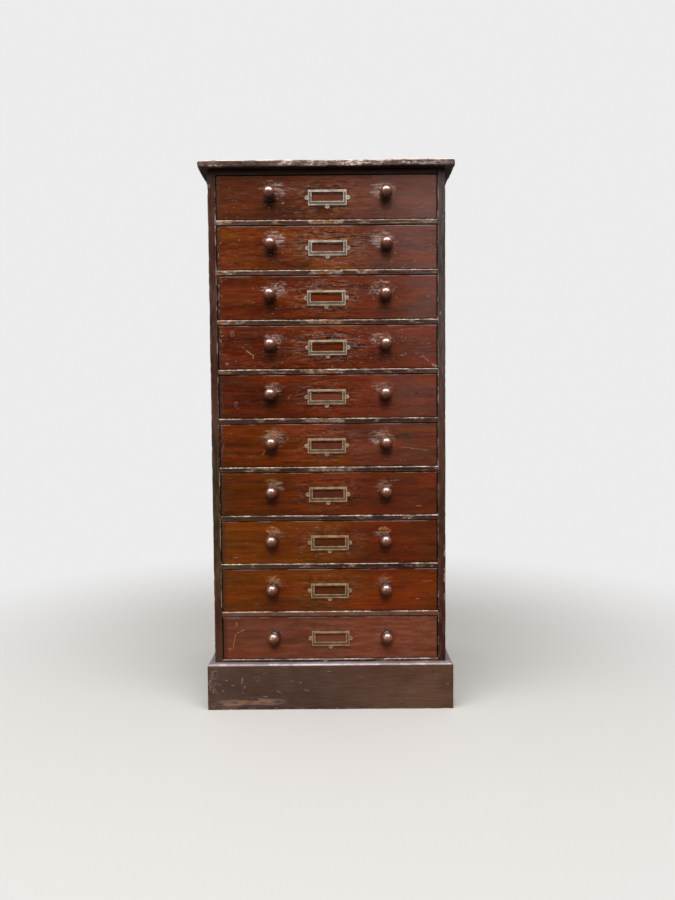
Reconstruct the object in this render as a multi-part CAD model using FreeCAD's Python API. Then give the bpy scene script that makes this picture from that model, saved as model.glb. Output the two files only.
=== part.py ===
import FreeCAD, Part
import math
import os

# A tall, narrow specimen chest in stained mahogany and pine, with ten shallow drawers of one size.
# The case is two sides with housed rails and runners between them, a bottom board, a boarded back,
# an overhanging top and an applied plinth. Each drawer has a lapped front, dovetailed sides and back,
# a grooved bottom, two turned knobs and a brass label holder. The frame is millimetres, +Z up, with the
# drawer fronts facing -Y and the origin on the floor under the centre of the whole chest.

V = FreeCAD.Vector

# Case
CASE_WIDTH = 530.0            # over the two sides
CASE_DEPTH = 430.0            # front edge to back edge of a side
SIDE_THICKNESS = 18.0
SIDE_ARRIS = 1.5              # rounding of a side's front edges
HOUSING_DEPTH = 7.0           # how far rails, runners and bottom enter the sides
HOUSING_STOP = 14.0           # the housings stop this far behind the front edge
BOTTOM_TOP = 112.0            # upper face of the bottom board above the floor
BOTTOM_THICKNESS = 12.0

# Rails and runners
DRAWER_COUNT = 10
DRAWER_PITCH = 110.5
RAIL_THICKNESS = 12.0
RAIL_DEPTH = 55.0
RAIL_ARRIS = 2.4              # rounding of a rail's upper front edge
RAIL_LOWER_ARRIS = 1.0
RUNNER_WIDTH = 32.0           # the part of a runner that shows inside the case
RUNNER_END_GAP = 2.0          # left between a runner and the back boards

# Drawer stops
STOP_LENGTH = 36.0
STOP_DEPTH = 16.0
STOP_HEIGHT = 4.5
STOP_SPACING = 300.0          # between the middles of a pair of stops
STOP_GAP = 0.3                # between a stop and the closed drawer front

# Top
TOP_THICKNESS = 15.0
TOP_OVERHANG = 19.0
TOP_UPPER_ARRIS = 4.0
TOP_LOWER_ARRIS = 2.0
TOP_CORNER = 7.0              # rounding of the front corners seen from above

# Plinth
PLINTH_HEIGHT = 105.0
PLINTH_THICKNESS = 15.0
PLINTH_NOSE = 4.5             # rounding of the plinth's upper outer edge
PLINTH_BACK_HEIGHT = 80.0
BLOCK_SECTION = 24.0
BLOCK_FLOOR_GAP = 4.0
FRONT_BLOCK_LENGTH = 70.0
FRONT_BLOCK_SPACING = 260.0
CUT_PAST = 1.0                # how far the mitre's cutting solid passes the boards it cuts

# Back boards
BACK_THICKNESS = 10.0
BACK_REBATE = 9.0             # how far the back boards enter the rear edge of each side
BACK_BOARD_COUNT = 4
BACK_SEAM = 0.6               # open seam between two boards
TONGUE_LENGTH = 5.0
TONGUE_THICKNESS = 3.0
TONGUE_PLAY = 0.2
BACK_CHAMFER = 1.5

# Fixings
NAIL_RADIUS = 1.0
NAIL_LENGTH = 24.0
NAIL_HEAD_RADIUS = 2.5
NAIL_HEAD_THICKNESS = 0.8
NAIL_EDGE = 24.0              # from a board's edge to its nail
SCREW_RADIUS = 2.0
SCREW_HEAD_RADIUS = 4.0
SCREW_HEAD_DEPTH = 2.5
SCREW_BITE = 9.0              # how far a screw enters the top
SCREW_SPACING = 190.0
FIXING_PLAY = 0.12            # radial play of a nail, pin or screw in its hole

# Drawers
DRAWER_SETBACK = 1.0          # drawer faces lie this far behind the rails' faces
DRAWER_BACK_GAP = 15.0        # left between a closed drawer and the back boards
DRAWER_SIDE_GAP = 1.0
DRAWER_TOP_GAP = 1.2
DRAWER_LIFT = 0.3             # running clearance over the rails
FRONT_THICKNESS = 18.0
FRONT_ARRIS = 1.2
BOX_THICKNESS = 9.0           # sides and back
BOX_DROP = 2.0                # sides are this much lower than the front
BACK_DROP = 5.0               # the back is this much lower than the sides
BOTTOM_RISE = 7.0             # underside of the bottom above the sides' lower edge
DRAWER_BOTTOM_THICKNESS = 6.0
GROOVE_IN_SIDE = 4.0
GROOVE_IN_FRONT = 5.0
END_PLAY = 0.5                # left beyond the end of a panel, spigot or pin in its groove or hole

# Dovetails
FRONT_LAP = 5.0               # wood left in front of the tails
FRONT_TAILS = 4
BACK_TAILS = 3
PIN_WIDTH = 5.0               # narrow end of a pin
TAIL_SLOPE = 1.0 / 7.0

# Knobs
KNOB_SPACING = 258.0
KNOB_RAISE = 5.0              # knob centre above the middle of the drawer front
KNOB_LENGTH = 34.5
KNOB_HEAD_RADIUS = 13.5
KNOB_HEAD_AT = 22.0           # distance of the widest place from the drawer face
KNOB_RIM_RADIUS = 6.5         # roundness of the head's rim
KNOB_NECK_RADIUS = 7.5
KNOB_BASE_RADIUS = 14.0
KNOB_BASE_THICKNESS = 3.2
KNOB_BASE_EDGE = 1.6          # roundness of the base's edge
KNOB_COVE_START = 2.5         # from the rim of the head to where the cove leaves the base
KNOB_SPIGOT_RADIUS = 4.5
KNOB_SPIGOT_LENGTH = 14.0
KNOB_SPIGOT_PLAY = 0.2
# How far each drawer's knobs, and its label holder, sit off the middle, from the top drawer down.
KNOB_SHIFTS = (3.0, 4.0, 1.0, 1.0, 0.0, 1.0, 0.0, -1.0, -1.0, 1.0)

# Label holders
LABEL_WIDTH = 86.0
LABEL_HEIGHT = 34.0
LABEL_DROP = 1.0              # how far below the middle of the drawer front it sits
LABEL_THICKNESS = 2.8
LABEL_SIDE_BORDER = 8.0       # from the frame's edge to its window
LABEL_TOP_BORDER = 5.0
LABEL_LOWER_BORDER = 9.0
LABEL_BEAD = 2.0              # beads along the outer edge and round the window, with a channel between
LABEL_CHANNEL_DEPTH = 1.0
CARD_LAP = 4.0                # how far a card reaches behind the frame at its sides and foot
CARD_THICKNESS = 1.2
EAR_RADIUS = 4.8
EAR_OUT = 2.6                 # ear centre outside the frame's edge
EAR_THICKNESS = 1.8
PIN_RADIUS = 0.8
PIN_LENGTH = 9.0
PIN_HEAD_RADIUS = 1.7
PIN_HEAD_HEIGHT = 1.0
LABEL_SHIFTS = (2.0, 2.0, -2.0, 0.0, -3.0, -4.0, -2.0, 1.0, 0.0, 1.0)

# Places that follow from the sizes above
KNOB_REACH = max(KNOB_LENGTH - DRAWER_SETBACK, TOP_OVERHANG)
CASE_FRONT = -(CASE_DEPTH + KNOB_REACH) / 2 + KNOB_REACH
CASE_BACK = CASE_FRONT + CASE_DEPTH
CASE_HALF = CASE_WIDTH / 2
INNER_HALF = CASE_HALF - SIDE_THICKNESS
HOUSED_HALF = INNER_HALF + HOUSING_DEPTH
CASE_TOP = BOTTOM_TOP + DRAWER_COUNT * DRAWER_PITCH
BOTTOM_UNDERSIDE = BOTTOM_TOP - BOTTOM_THICKNESS
BACK_INNER = CASE_BACK - BACK_THICKNESS
OPENING_HEIGHT = DRAWER_PITCH - RAIL_THICKNESS
RAIL_BACK = CASE_FRONT + RAIL_DEPTH

DRAWER_FACE = CASE_FRONT + DRAWER_SETBACK
DRAWER_INSIDE = DRAWER_FACE + FRONT_THICKNESS
DRAWER_REAR = BACK_INNER - DRAWER_BACK_GAP
DRAWER_HALF = INNER_HALF - DRAWER_SIDE_GAP
FRONT_HEIGHT = OPENING_HEIGHT - DRAWER_LIFT - DRAWER_TOP_GAP
BOX_HEIGHT = FRONT_HEIGHT - BOX_DROP
BOX_INNER_HALF = DRAWER_HALF - BOX_THICKNESS
FLOOR_TOP = BOTTOM_RISE + DRAWER_BOTTOM_THICKNESS


def board(x0, x1, y0, y1, z0, z1):
    """A plain board between two corners."""
    return Part.makeBox(x1 - x0, y1 - y0, z1 - z0, V(x0, y0, z0))


def prism(points, direction):
    """A flat outline, given by its corners, pushed along a direction."""
    face = Part.Face(Part.makePolygon(points + points[:1]))
    return face.extrude(direction)


def turned(profile, x, y, z):
    """A turned piece about an axis along Y, from edges of (radius, distance towards the front)."""
    face = Part.Face(Part.Wire(profile))
    solid = face.revolve(V(0, 0, 0), V(0, 1, 0), 360)
    solid.translate(V(x, y, z))
    return solid


def straight(*points):
    """Edges through (radius, distance) points of a turned profile."""
    places = [V(r, -d, 0) for r, d in points]
    return [Part.LineSegment(a, b).toShape() for a, b in zip(places, places[1:])]


def curved(start, through, end):
    """An arc of a turned profile through three (radius, distance) points."""
    a, b, c = (V(r, -d, 0) for r, d in (start, through, end))
    return Part.Arc(a, b, c).toShape()


def dome(rim, tip):
    """The arc of a ball centred on the axis, from a (radius, distance) rim to a tip on the axis."""
    height = tip - rim[1]
    ball = (rim[0] ** 2 + height ** 2) / (2 * height)
    half = math.atan2(rim[0], ball - height) / 2
    return curved(rim, (ball * math.sin(half), tip - ball + ball * math.cos(half)), (0, tip))


def round_edges(shape, radius, wanted):
    """Rounds the straight edges for which wanted(middle, direction) is true."""
    edges = []
    for edge in shape.Edges:
        start, end = edge.firstVertex().Point, edge.lastVertex().Point
        if wanted((start + end) * 0.5, (end - start)):
            edges.append(edge)
    return shape.makeFillet(radius, edges)


def near(a, b):
    return abs(a - b) < 0.01


def drill(x, y, z, radius, depth, towards):
    """A hole, as the solid to cut, that starts at a point and runs along a direction."""
    return Part.makeCylinder(radius, depth, V(x, y, z), towards)


def write(name, *solids):
    shape = solids[0] if len(solids) == 1 else Part.makeCompound(list(solids))
    shape.exportStep("parts/" + name + ".step")


# The case


def rail_levels():
    """Upper faces of the nine rails between drawers, from the top down."""
    return [CASE_TOP - n * DRAWER_PITCH for n in range(1, DRAWER_COUNT)]


def case_side(hand):
    """A case side, -1 for the left one and 1 for the right one, with its housings and back rebate."""
    def span(a, b):
        return sorted((hand * a, hand * b))

    side = board(*span(INNER_HALF, CASE_HALF), CASE_FRONT, CASE_BACK, 0, CASE_TOP)
    side = round_edges(side, SIDE_ARRIS, lambda m, d: near(m.y, CASE_FRONT) and abs(d.z) > CASE_TOP / 2)
    housed = span(INNER_HALF, HOUSED_HALF)
    start = CASE_FRONT + HOUSING_STOP
    uppers = [(level, RAIL_THICKNESS) for level in rail_levels() + [CASE_TOP]]
    for upper, thickness in uppers + [(BOTTOM_TOP, BOTTOM_THICKNESS)]:
        side = side.cut(board(*housed, start, CASE_BACK, upper - thickness, upper))
    rebate = span(INNER_HALF, INNER_HALF + BACK_REBATE)
    return side.cut(board(*rebate, BACK_INNER, CASE_BACK, PLINTH_BACK_HEIGHT, CASE_TOP))


def housed_board(y0, y1, upper, thickness):
    """A board across the case whose ends enter the housings, shouldered where they stop."""
    across = board(-HOUSED_HALF, HOUSED_HALF, y0, y1, upper - thickness, upper)
    stop = CASE_FRONT + HOUSING_STOP
    if y0 < stop:
        for x0, x1 in ((-HOUSED_HALF, -INNER_HALF), (INNER_HALF, HOUSED_HALF)):
            across = across.cut(board(x0, x1, y0, stop, upper - thickness, upper))
    return across


def front_rail(upper, thickness, depth):
    """A rail across the front, with its worn upper edge and its eased lower edge."""
    rail = housed_board(CASE_FRONT, CASE_FRONT + depth, upper, thickness)
    rail = round_edges(rail, RAIL_ARRIS, lambda m, d: near(m.y, CASE_FRONT) and near(m.z, upper))
    return round_edges(
        rail, RAIL_LOWER_ARRIS, lambda m, d: near(m.y, CASE_FRONT) and near(m.z, upper - thickness)
    )


def runners(upper, y0, y1):
    """The left and right runners, or kickers, whose upper faces are at one level."""
    z = (upper - RAIL_THICKNESS, upper)
    inner = INNER_HALF - RUNNER_WIDTH
    return [board(-HOUSED_HALF, -inner, y0, y1, *z), board(inner, HOUSED_HALF, y0, y1, *z)]


def drawer_stops(level):
    """Two small blocks on a rail, which the closed drawer front meets."""
    y0 = DRAWER_INSIDE + STOP_GAP
    stops = []
    for middle in (-STOP_SPACING / 2, STOP_SPACING / 2):
        x0, x1 = middle - STOP_LENGTH / 2, middle + STOP_LENGTH / 2
        stops.append(board(x0, x1, y0, y0 + STOP_DEPTH, level, level + STOP_HEIGHT))
    return stops


def top_board():
    reach = CASE_HALF + TOP_OVERHANG
    front = CASE_FRONT - TOP_OVERHANG
    upper = CASE_TOP + TOP_THICKNESS
    top = board(-reach, reach, front, CASE_BACK, CASE_TOP, upper)
    top = round_edges(top, TOP_CORNER, lambda m, d: near(m.y, front) and abs(d.z) > TOP_THICKNESS / 2)

    def outer(level):
        def wanted(middle, direction):
            along_front = near(middle.y, front)
            along_side = near(abs(middle.x), reach)
            return near(middle.z, level) and (along_front or along_side)
        return wanted

    top = round_edges(top, TOP_UPPER_ARRIS, outer(upper))
    return round_edges(top, TOP_LOWER_ARRIS, outer(CASE_TOP))


def plinth_profile(outwards):
    """The plinth's section as (distance out from the case, height) edges, turned to face outwards."""
    def place(out, z):
        return outwards * out + V(0, 0, z)

    full = PLINTH_THICKNESS
    flat = full - PLINTH_NOSE
    shoulder = PLINTH_HEIGHT - PLINTH_NOSE
    bend = PLINTH_NOSE * math.sqrt(0.5)
    corners = [place(flat, PLINTH_HEIGHT), place(0, PLINTH_HEIGHT), place(0, 0)]
    corners += [place(full, 0), place(full, shoulder)]
    edges = [Part.LineSegment(a, b).toShape() for a, b in zip(corners, corners[1:])]
    middle = place(flat + bend, shoulder + bend)
    edges.append(Part.Arc(corners[-1], middle, corners[0]).toShape())
    return Part.Face(Part.Wire(edges))


def mitre(hand, keep_front):
    """The solid to cut from a plinth board so that it ends on the mitre at one front corner."""
    big = 2 * PLINTH_THICKNESS
    corner = V(hand * CASE_HALF, CASE_FRONT, -CUT_PAST)
    outer = corner + V(hand * big, -big, 0)
    beyond = corner + (V(hand * big, 0, 0) if keep_front else V(0, -big, 0))
    return prism([corner, outer, beyond], V(0, 0, PLINTH_HEIGHT + 2 * CUT_PAST))


def plinth_front():
    reach = CASE_HALF + PLINTH_THICKNESS
    profile = plinth_profile(V(0, -1, 0))
    profile.translate(V(-reach, CASE_FRONT, 0))
    front = profile.extrude(V(2 * reach, 0, 0))
    for hand in (-1, 1):
        front = front.cut(mitre(hand, True))
    return front


def plinth_side(hand):
    profile = plinth_profile(V(hand, 0, 0))
    profile.translate(V(hand * CASE_HALF, CASE_FRONT - PLINTH_THICKNESS, 0))
    side = profile.extrude(V(0, CASE_DEPTH + PLINTH_THICKNESS, 0))
    return side.cut(mitre(hand, False))


def glue_blocks():
    """Upright blocks in the four corners under the case and two blocks along the front."""
    blocks = []
    rear = CASE_BACK - PLINTH_THICKNESS
    edge = INNER_HALF - BLOCK_SECTION
    for x0, x1 in ((-INNER_HALF, -edge), (edge, INNER_HALF)):
        for y0 in (CASE_FRONT, rear - BLOCK_SECTION):
            blocks.append(board(x0, x1, y0, y0 + BLOCK_SECTION, BLOCK_FLOOR_GAP, BOTTOM_UNDERSIDE))
    for middle in (-FRONT_BLOCK_SPACING / 2, FRONT_BLOCK_SPACING / 2):
        start = V(middle - FRONT_BLOCK_LENGTH / 2, CASE_FRONT, BOTTOM_UNDERSIDE)
        corners = [start, start + V(0, BLOCK_SECTION, 0), start - V(0, 0, BLOCK_SECTION)]
        blocks.append(prism(corners, V(FRONT_BLOCK_LENGTH, 0, 0)))
    return blocks


def back_board_edges():
    """Left edge of each back board, with the last right edge at the end."""
    half = INNER_HALF + BACK_REBATE
    step = 2 * half / BACK_BOARD_COUNT
    return [-half + n * step for n in range(BACK_BOARD_COUNT + 1)]


def back_board(x0, x1, first, last):
    """One upright board: a groove on its left edge, a tongue on its right, chamfered at the seams."""
    left = x0 if first else x0 + BACK_SEAM / 2
    right = x1 if last else x1 - BACK_SEAM / 2
    z = (PLINTH_BACK_HEIGHT, CASE_TOP)
    wood = board(left, right, BACK_INNER, CASE_BACK, *z)
    middle = (BACK_INNER + CASE_BACK) / 2
    half = TONGUE_THICKNESS / 2
    height = V(0, 0, z[1] - z[0])
    for at, inwards, plain in ((left, 1, first), (right, -1, last)):
        if not plain:
            corner = V(at, CASE_BACK, z[0])
            slope = [corner, corner + V(inwards * BACK_CHAMFER, 0, 0), corner - V(0, BACK_CHAMFER, 0)]
            wood = wood.cut(prism(slope, height))
    if not first:
        deep = left + TONGUE_LENGTH
        wood = wood.cut(board(left, deep, middle - half - TONGUE_PLAY, middle + half + TONGUE_PLAY, *z))
    if not last:
        tip = right + TONGUE_LENGTH
        wood = wood.fuse(board(right, tip, middle - half, middle + half, *z)).removeSplitter()
    return wood


def back_boards():
    edges = back_board_edges()
    last = BACK_BOARD_COUNT - 1
    return [back_board(edges[n], edges[n + 1], n == 0, n == last) for n in range(BACK_BOARD_COUNT)]


def nail_places():
    """The nails through the back boards, into the rear top rail and the bottom board."""
    edges = back_board_edges()
    heights = (CASE_TOP - RAIL_THICKNESS / 2, BOTTOM_TOP - BOTTOM_THICKNESS / 2)
    places = []
    for x0, x1 in zip(edges, edges[1:]):
        for x in (x0 + NAIL_EDGE, x1 - NAIL_EDGE):
            places += [(x, z) for z in heights]
    return places


def nail(x, z, play):
    """A back nail, or with play the solid to cut for it."""
    inwards = V(0, -1, 0)
    head = drill(x, CASE_BACK, z, NAIL_HEAD_RADIUS + play, NAIL_HEAD_THICKNESS, inwards)
    return head.fuse(drill(x, CASE_BACK, z, NAIL_RADIUS + play, NAIL_LENGTH, inwards)).removeSplitter()


def screw_places():
    """The screws that go up through the front and rear top rails into the top."""
    middles = (CASE_FRONT + RAIL_DEPTH / 2, BACK_INNER - RAIL_DEPTH / 2)
    return [(n * SCREW_SPACING, y) for n in (-1, 0, 1) for y in middles]


def top_screw(x, y, play):
    """A countersunk screw, or with play the solid to cut for it."""
    base = CASE_TOP - RAIL_THICKNESS
    head, shank = SCREW_HEAD_RADIUS + play, SCREW_RADIUS + play
    cone = Part.makeCone(head, shank, SCREW_HEAD_DEPTH, V(x, y, base))
    length = RAIL_THICKNESS + SCREW_BITE - SCREW_HEAD_DEPTH
    return cone.fuse(drill(x, y, base + SCREW_HEAD_DEPTH, shank, length, V(0, 0, 1))).removeSplitter()


def cut_all(shape, cutters):
    for cutter in cutters:
        shape = shape.cut(cutter)
    return shape


def make_case():
    write("side_left", case_side(-1))
    write("side_right", case_side(1))

    screw_holes = [top_screw(x, y, FIXING_PLAY) for x, y in screw_places()]
    nail_holes = [nail(x, z, FIXING_PLAY) for x, z in nail_places()]
    write("top_board", cut_all(top_board(), screw_holes))
    write("top_rail_front", cut_all(front_rail(CASE_TOP, RAIL_THICKNESS, RAIL_DEPTH), screw_holes))
    rear_rail = housed_board(BACK_INNER - RAIL_DEPTH, BACK_INNER, CASE_TOP, RAIL_THICKNESS)
    write("top_rail_back", cut_all(rear_rail, screw_holes + nail_holes))
    write("top_screws", *[top_screw(x, y, 0) for x, y in screw_places()])

    floor = front_rail(BOTTOM_TOP, BOTTOM_THICKNESS, BACK_INNER - CASE_FRONT)
    write("bottom_board", cut_all(floor, nail_holes))
    levels = rail_levels()
    write("drawer_rails", *[front_rail(level, RAIL_THICKNESS, RAIL_DEPTH) for level in levels])
    pairs = [runners(level, RAIL_BACK, BACK_INNER - RUNNER_END_GAP) for level in levels]
    write("runners_left", *[pair[0] for pair in pairs])
    write("runners_right", *[pair[1] for pair in pairs])
    write("kickers", *runners(CASE_TOP, RAIL_BACK, BACK_INNER - RAIL_DEPTH))
    stops = [stop for level in levels + [BOTTOM_TOP] for stop in drawer_stops(level)]
    write("drawer_stops", *stops)

    write("back_boards", *[cut_all(wood, nail_holes) for wood in back_boards()])
    write("back_nails", *[nail(x, z, 0) for x, z in nail_places()])

    write("plinth_front", plinth_front())
    write("plinth_left", plinth_side(-1))
    write("plinth_right", plinth_side(1))
    rear = CASE_BACK - PLINTH_THICKNESS
    write("plinth_back", board(-INNER_HALF, INNER_HALF, rear, CASE_BACK, 0, PLINTH_BACK_HEIGHT))
    write("glue_blocks", *glue_blocks())


# The drawers


def tails(hand, y_root, y_tip, z_low, z_high, count):
    """The tails on one end of a drawer side, wide at the tip, as solids."""
    step = (z_high - z_low) / count
    tip_half = (step - PIN_WIDTH) / 2
    root_half = tip_half - TAIL_SLOPE * abs(y_tip - y_root)
    inner = hand * BOX_INNER_HALF
    solids = []
    for n in range(count):
        z = z_low + (n + 0.5) * step
        corners = [
            V(inner, y_root, z - root_half),
            V(inner, y_tip, z - tip_half),
            V(inner, y_tip, z + tip_half),
            V(inner, y_root, z + root_half),
        ]
        solids.append(prism(corners, V(hand * BOX_THICKNESS, 0, 0)))
    return solids


def drawer_front(z0, knob_xs, label_x):
    """The front, with its sockets, bottom groove, and holes for knobs and pins."""
    front = board(-DRAWER_HALF, DRAWER_HALF, DRAWER_FACE, DRAWER_INSIDE, z0, z0 + FRONT_HEIGHT)
    front = round_edges(front, FRONT_ARRIS, lambda m, d: near(m.y, DRAWER_FACE))
    tip = DRAWER_FACE + FRONT_LAP
    for hand in (-1, 1):
        front = cut_all(front, tails(hand, DRAWER_INSIDE, tip, z0, z0 + BOX_HEIGHT, FRONT_TAILS))
    floor = z0 + BOTTOM_RISE
    groove = board(
        -BOX_INNER_HALF, BOX_INNER_HALF,
        DRAWER_INSIDE - GROOVE_IN_FRONT, DRAWER_INSIDE,
        floor, floor + DRAWER_BOTTOM_THICKNESS,
    )
    front = front.cut(groove)
    depth = KNOB_SPIGOT_LENGTH + END_PLAY
    for x in knob_xs:
        hole = KNOB_SPIGOT_RADIUS + KNOB_SPIGOT_PLAY
        front = front.cut(drill(x, DRAWER_FACE, knob_height(z0), hole, depth, V(0, 1, 0)))
    for x, z in ear_places(label_x, label_height(z0)):
        hole = PIN_RADIUS + FIXING_PLAY
        front = front.cut(drill(x, DRAWER_FACE, z, hole, PIN_LENGTH, V(0, 1, 0)))
    return front


def drawer_box(z0, front):
    """The two sides, the back and the bottom, cut to meet the front and each other."""
    top = z0 + BOX_HEIGHT
    floor = z0 + BOTTOM_RISE
    back_root = DRAWER_REAR - BOX_THICKNESS
    back_z = (z0 + FLOOR_TOP, top - BACK_DROP)
    back = board(-DRAWER_HALF, DRAWER_HALF, back_root, DRAWER_REAR, *back_z)
    for hand in (-1, 1):
        back = cut_all(back, tails(hand, back_root, DRAWER_REAR, *back_z, BACK_TAILS))
    sides = []
    for hand in (-1, 1):
        x0, x1 = sorted((hand * BOX_INNER_HALF, hand * DRAWER_HALF))
        side = board(x0, x1, DRAWER_FACE + FRONT_LAP, DRAWER_REAR, z0, top)
        g0, g1 = sorted((hand * BOX_INNER_HALF, hand * (BOX_INNER_HALF + GROOVE_IN_SIDE)))
        groove = board(g0, g1, DRAWER_FACE, DRAWER_REAR, floor, floor + DRAWER_BOTTOM_THICKNESS)
        sides.append(side.cut(front).cut(back).cut(groove))
    half = BOX_INNER_HALF + GROOVE_IN_SIDE - END_PLAY
    start = DRAWER_INSIDE - GROOVE_IN_FRONT + END_PLAY
    bottom = board(-half, half, start, DRAWER_REAR, floor, floor + DRAWER_BOTTOM_THICKNESS)
    return sides + [back, bottom]


def knob_height(z0):
    return z0 + FRONT_HEIGHT / 2 + KNOB_RAISE


def label_height(z0):
    return z0 + FRONT_HEIGHT / 2 - LABEL_DROP


def knob(x, z):
    """A turned knob: spigot, round-edged base, hollow neck and a full round head."""
    base, head = KNOB_BASE_RADIUS, KNOB_HEAD_RADIUS
    lip, edge, rim = KNOB_BASE_THICKNESS, KNOB_BASE_EDGE, KNOB_RIM_RADIUS
    bend = edge * math.sqrt(0.5)
    foot = (base - edge, lip)

    # The rim is a ring about the axis. The dome in front is the ball that meets it without a ridge.
    ring = head - rim
    reach = KNOB_LENGTH - rim
    centre = (reach ** 2 - ring ** 2 - KNOB_HEAD_AT ** 2) / (2 * (reach - KNOB_HEAD_AT))
    share = (KNOB_LENGTH - centre) / (reach - centre)
    front = (ring * share, centre + (KNOB_HEAD_AT - centre) * share)
    back = (ring, KNOB_HEAD_AT - rim)
    waist = (KNOB_NECK_RADIUS, (lip + back[1]) / 2)

    spigot = -KNOB_SPIGOT_LENGTH
    edges = straight((0, spigot), (KNOB_SPIGOT_RADIUS, spigot), (KNOB_SPIGOT_RADIUS, 0))
    edges += straight((KNOB_SPIGOT_RADIUS, 0), (base, 0), (base, lip - edge))
    edges.append(curved((base, lip - edge), (base - edge + bend, lip - edge + bend), foot))
    cove = (ring + KNOB_COVE_START, lip)
    edges += straight(foot, cove)
    edges.append(curved(cove, waist, back))
    edges.append(curved(back, (head, KNOB_HEAD_AT), front))
    edges.append(dome(front, KNOB_LENGTH))
    edges += straight((0, KNOB_LENGTH), (0, spigot))
    return turned(edges, x, DRAWER_FACE, z)


def ear_places(x, z):
    """Centres of the left, right and lower ears of a label holder."""
    across, down = LABEL_WIDTH / 2 + EAR_OUT, LABEL_HEIGHT / 2 + EAR_OUT
    return [(x - across, z), (x + across, z), (x, z - down)]


def label_holder(x, z):
    """A cast frame with three ears, beaded round its edge and window and open at the top for a card."""
    face, outer = DRAWER_FACE, DRAWER_FACE - LABEL_THICKNESS
    bead = LABEL_BEAD
    left, right = x - LABEL_WIDTH / 2, x + LABEL_WIDTH / 2
    low, high = z - LABEL_HEIGHT / 2, z + LABEL_HEIGHT / 2
    win_left, win_right = left + LABEL_SIDE_BORDER, right - LABEL_SIDE_BORDER
    win_low, win_high = low + LABEL_LOWER_BORDER, high - LABEL_TOP_BORDER

    frame = board(left, right, outer, face, low, high)
    for ear_x, ear_z in ear_places(x, z):
        frame = frame.fuse(drill(ear_x, face, ear_z, EAR_RADIUS, EAR_THICKNESS, V(0, -1, 0)))
    floor = outer + LABEL_CHANNEL_DEPTH
    channel = board(left + bead, right - bead, outer, floor, low + bead, win_high)
    island = board(win_left - bead, win_right + bead, outer, floor, win_low - bead, win_high)
    frame = frame.cut(channel.cut(island))
    frame = frame.cut(board(win_left, win_right, outer, face, win_low, win_high))
    card_left, card_right = win_left - CARD_LAP, win_right + CARD_LAP
    frame = frame.cut(board(card_left, card_right, face - CARD_THICKNESS, face, win_low - CARD_LAP, high))
    for ear_x, ear_z in ear_places(x, z):
        hole = PIN_RADIUS + FIXING_PLAY
        frame = frame.cut(drill(ear_x, face, ear_z, hole, LABEL_THICKNESS, V(0, -1, 0)))
    return frame.removeSplitter()


def escutcheon_pin(x, z):
    """A small brass pin with a domed head on the ear's face."""
    seat = EAR_THICKNESS
    low = END_PLAY - PIN_LENGTH
    tip = seat + PIN_HEAD_HEIGHT
    rim = (PIN_HEAD_RADIUS, seat)
    edges = straight((0, low), (PIN_RADIUS, low), (PIN_RADIUS, seat), rim)
    edges.append(dome(rim, tip))
    edges += straight((0, tip), (0, low))
    return turned(edges, x, DRAWER_FACE, z)


def make_drawer(number):
    """One drawer; number 1 is the top one."""
    z0 = CASE_TOP - number * DRAWER_PITCH + DRAWER_LIFT
    shift = KNOB_SHIFTS[(number - 1) % len(KNOB_SHIFTS)]
    knob_xs = [shift - KNOB_SPACING / 2, shift + KNOB_SPACING / 2]
    label_x = LABEL_SHIFTS[(number - 1) % len(LABEL_SHIFTS)]
    name = "drawer_%02d_" % number
    front = drawer_front(z0, knob_xs, label_x)
    write(name + "front", front)
    write(name + "box", *drawer_box(z0, front))
    write(name + "knobs", *[knob(x, knob_height(z0)) for x in knob_xs])
    label_z = label_height(z0)
    pins = [escutcheon_pin(x, z) for x, z in ear_places(label_x, label_z)]
    write(name + "label_holder", label_holder(label_x, label_z), *pins)


os.makedirs("parts", exist_ok=True)
make_case()
for number in range(1, DRAWER_COUNT + 1):
    make_drawer(number)
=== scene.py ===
"""The looks of an old specimen chest: worn, dark-stained boards, ten polished mahogany drawer fronts,
turned knobs, brass label holders and bare pine inside."""

import math
from collections import namedtuple
from functools import reduce

import bmesh
import bpy
from mathutils import Matrix, Vector, noise


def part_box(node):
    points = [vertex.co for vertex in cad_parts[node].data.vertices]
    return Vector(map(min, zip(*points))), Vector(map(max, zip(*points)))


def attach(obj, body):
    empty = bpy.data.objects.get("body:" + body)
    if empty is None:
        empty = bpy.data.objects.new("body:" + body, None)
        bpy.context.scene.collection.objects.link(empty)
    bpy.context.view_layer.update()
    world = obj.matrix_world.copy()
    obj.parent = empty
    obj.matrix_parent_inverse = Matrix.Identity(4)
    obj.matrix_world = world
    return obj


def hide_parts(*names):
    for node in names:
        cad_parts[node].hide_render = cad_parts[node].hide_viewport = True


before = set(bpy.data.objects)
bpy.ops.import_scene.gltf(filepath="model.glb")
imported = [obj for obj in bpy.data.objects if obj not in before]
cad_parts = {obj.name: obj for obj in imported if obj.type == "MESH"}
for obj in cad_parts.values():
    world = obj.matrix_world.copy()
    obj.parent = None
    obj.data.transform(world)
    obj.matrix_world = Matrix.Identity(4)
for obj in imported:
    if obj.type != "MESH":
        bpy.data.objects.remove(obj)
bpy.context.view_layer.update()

bl_info = {
    "name": "Specimen chest",
    "version": (1, 0, 0),
    "blender": (4, 5, 0),
    "location": "3D View > Sidebar > Chest",
    "description": "Finishes the boards, drawers, knobs and brass of a specimen chest",
    "category": "Object",
}

MM = 0.001
DRAWERS = range(1, 11)
WELD = 0.002 * MM

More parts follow.
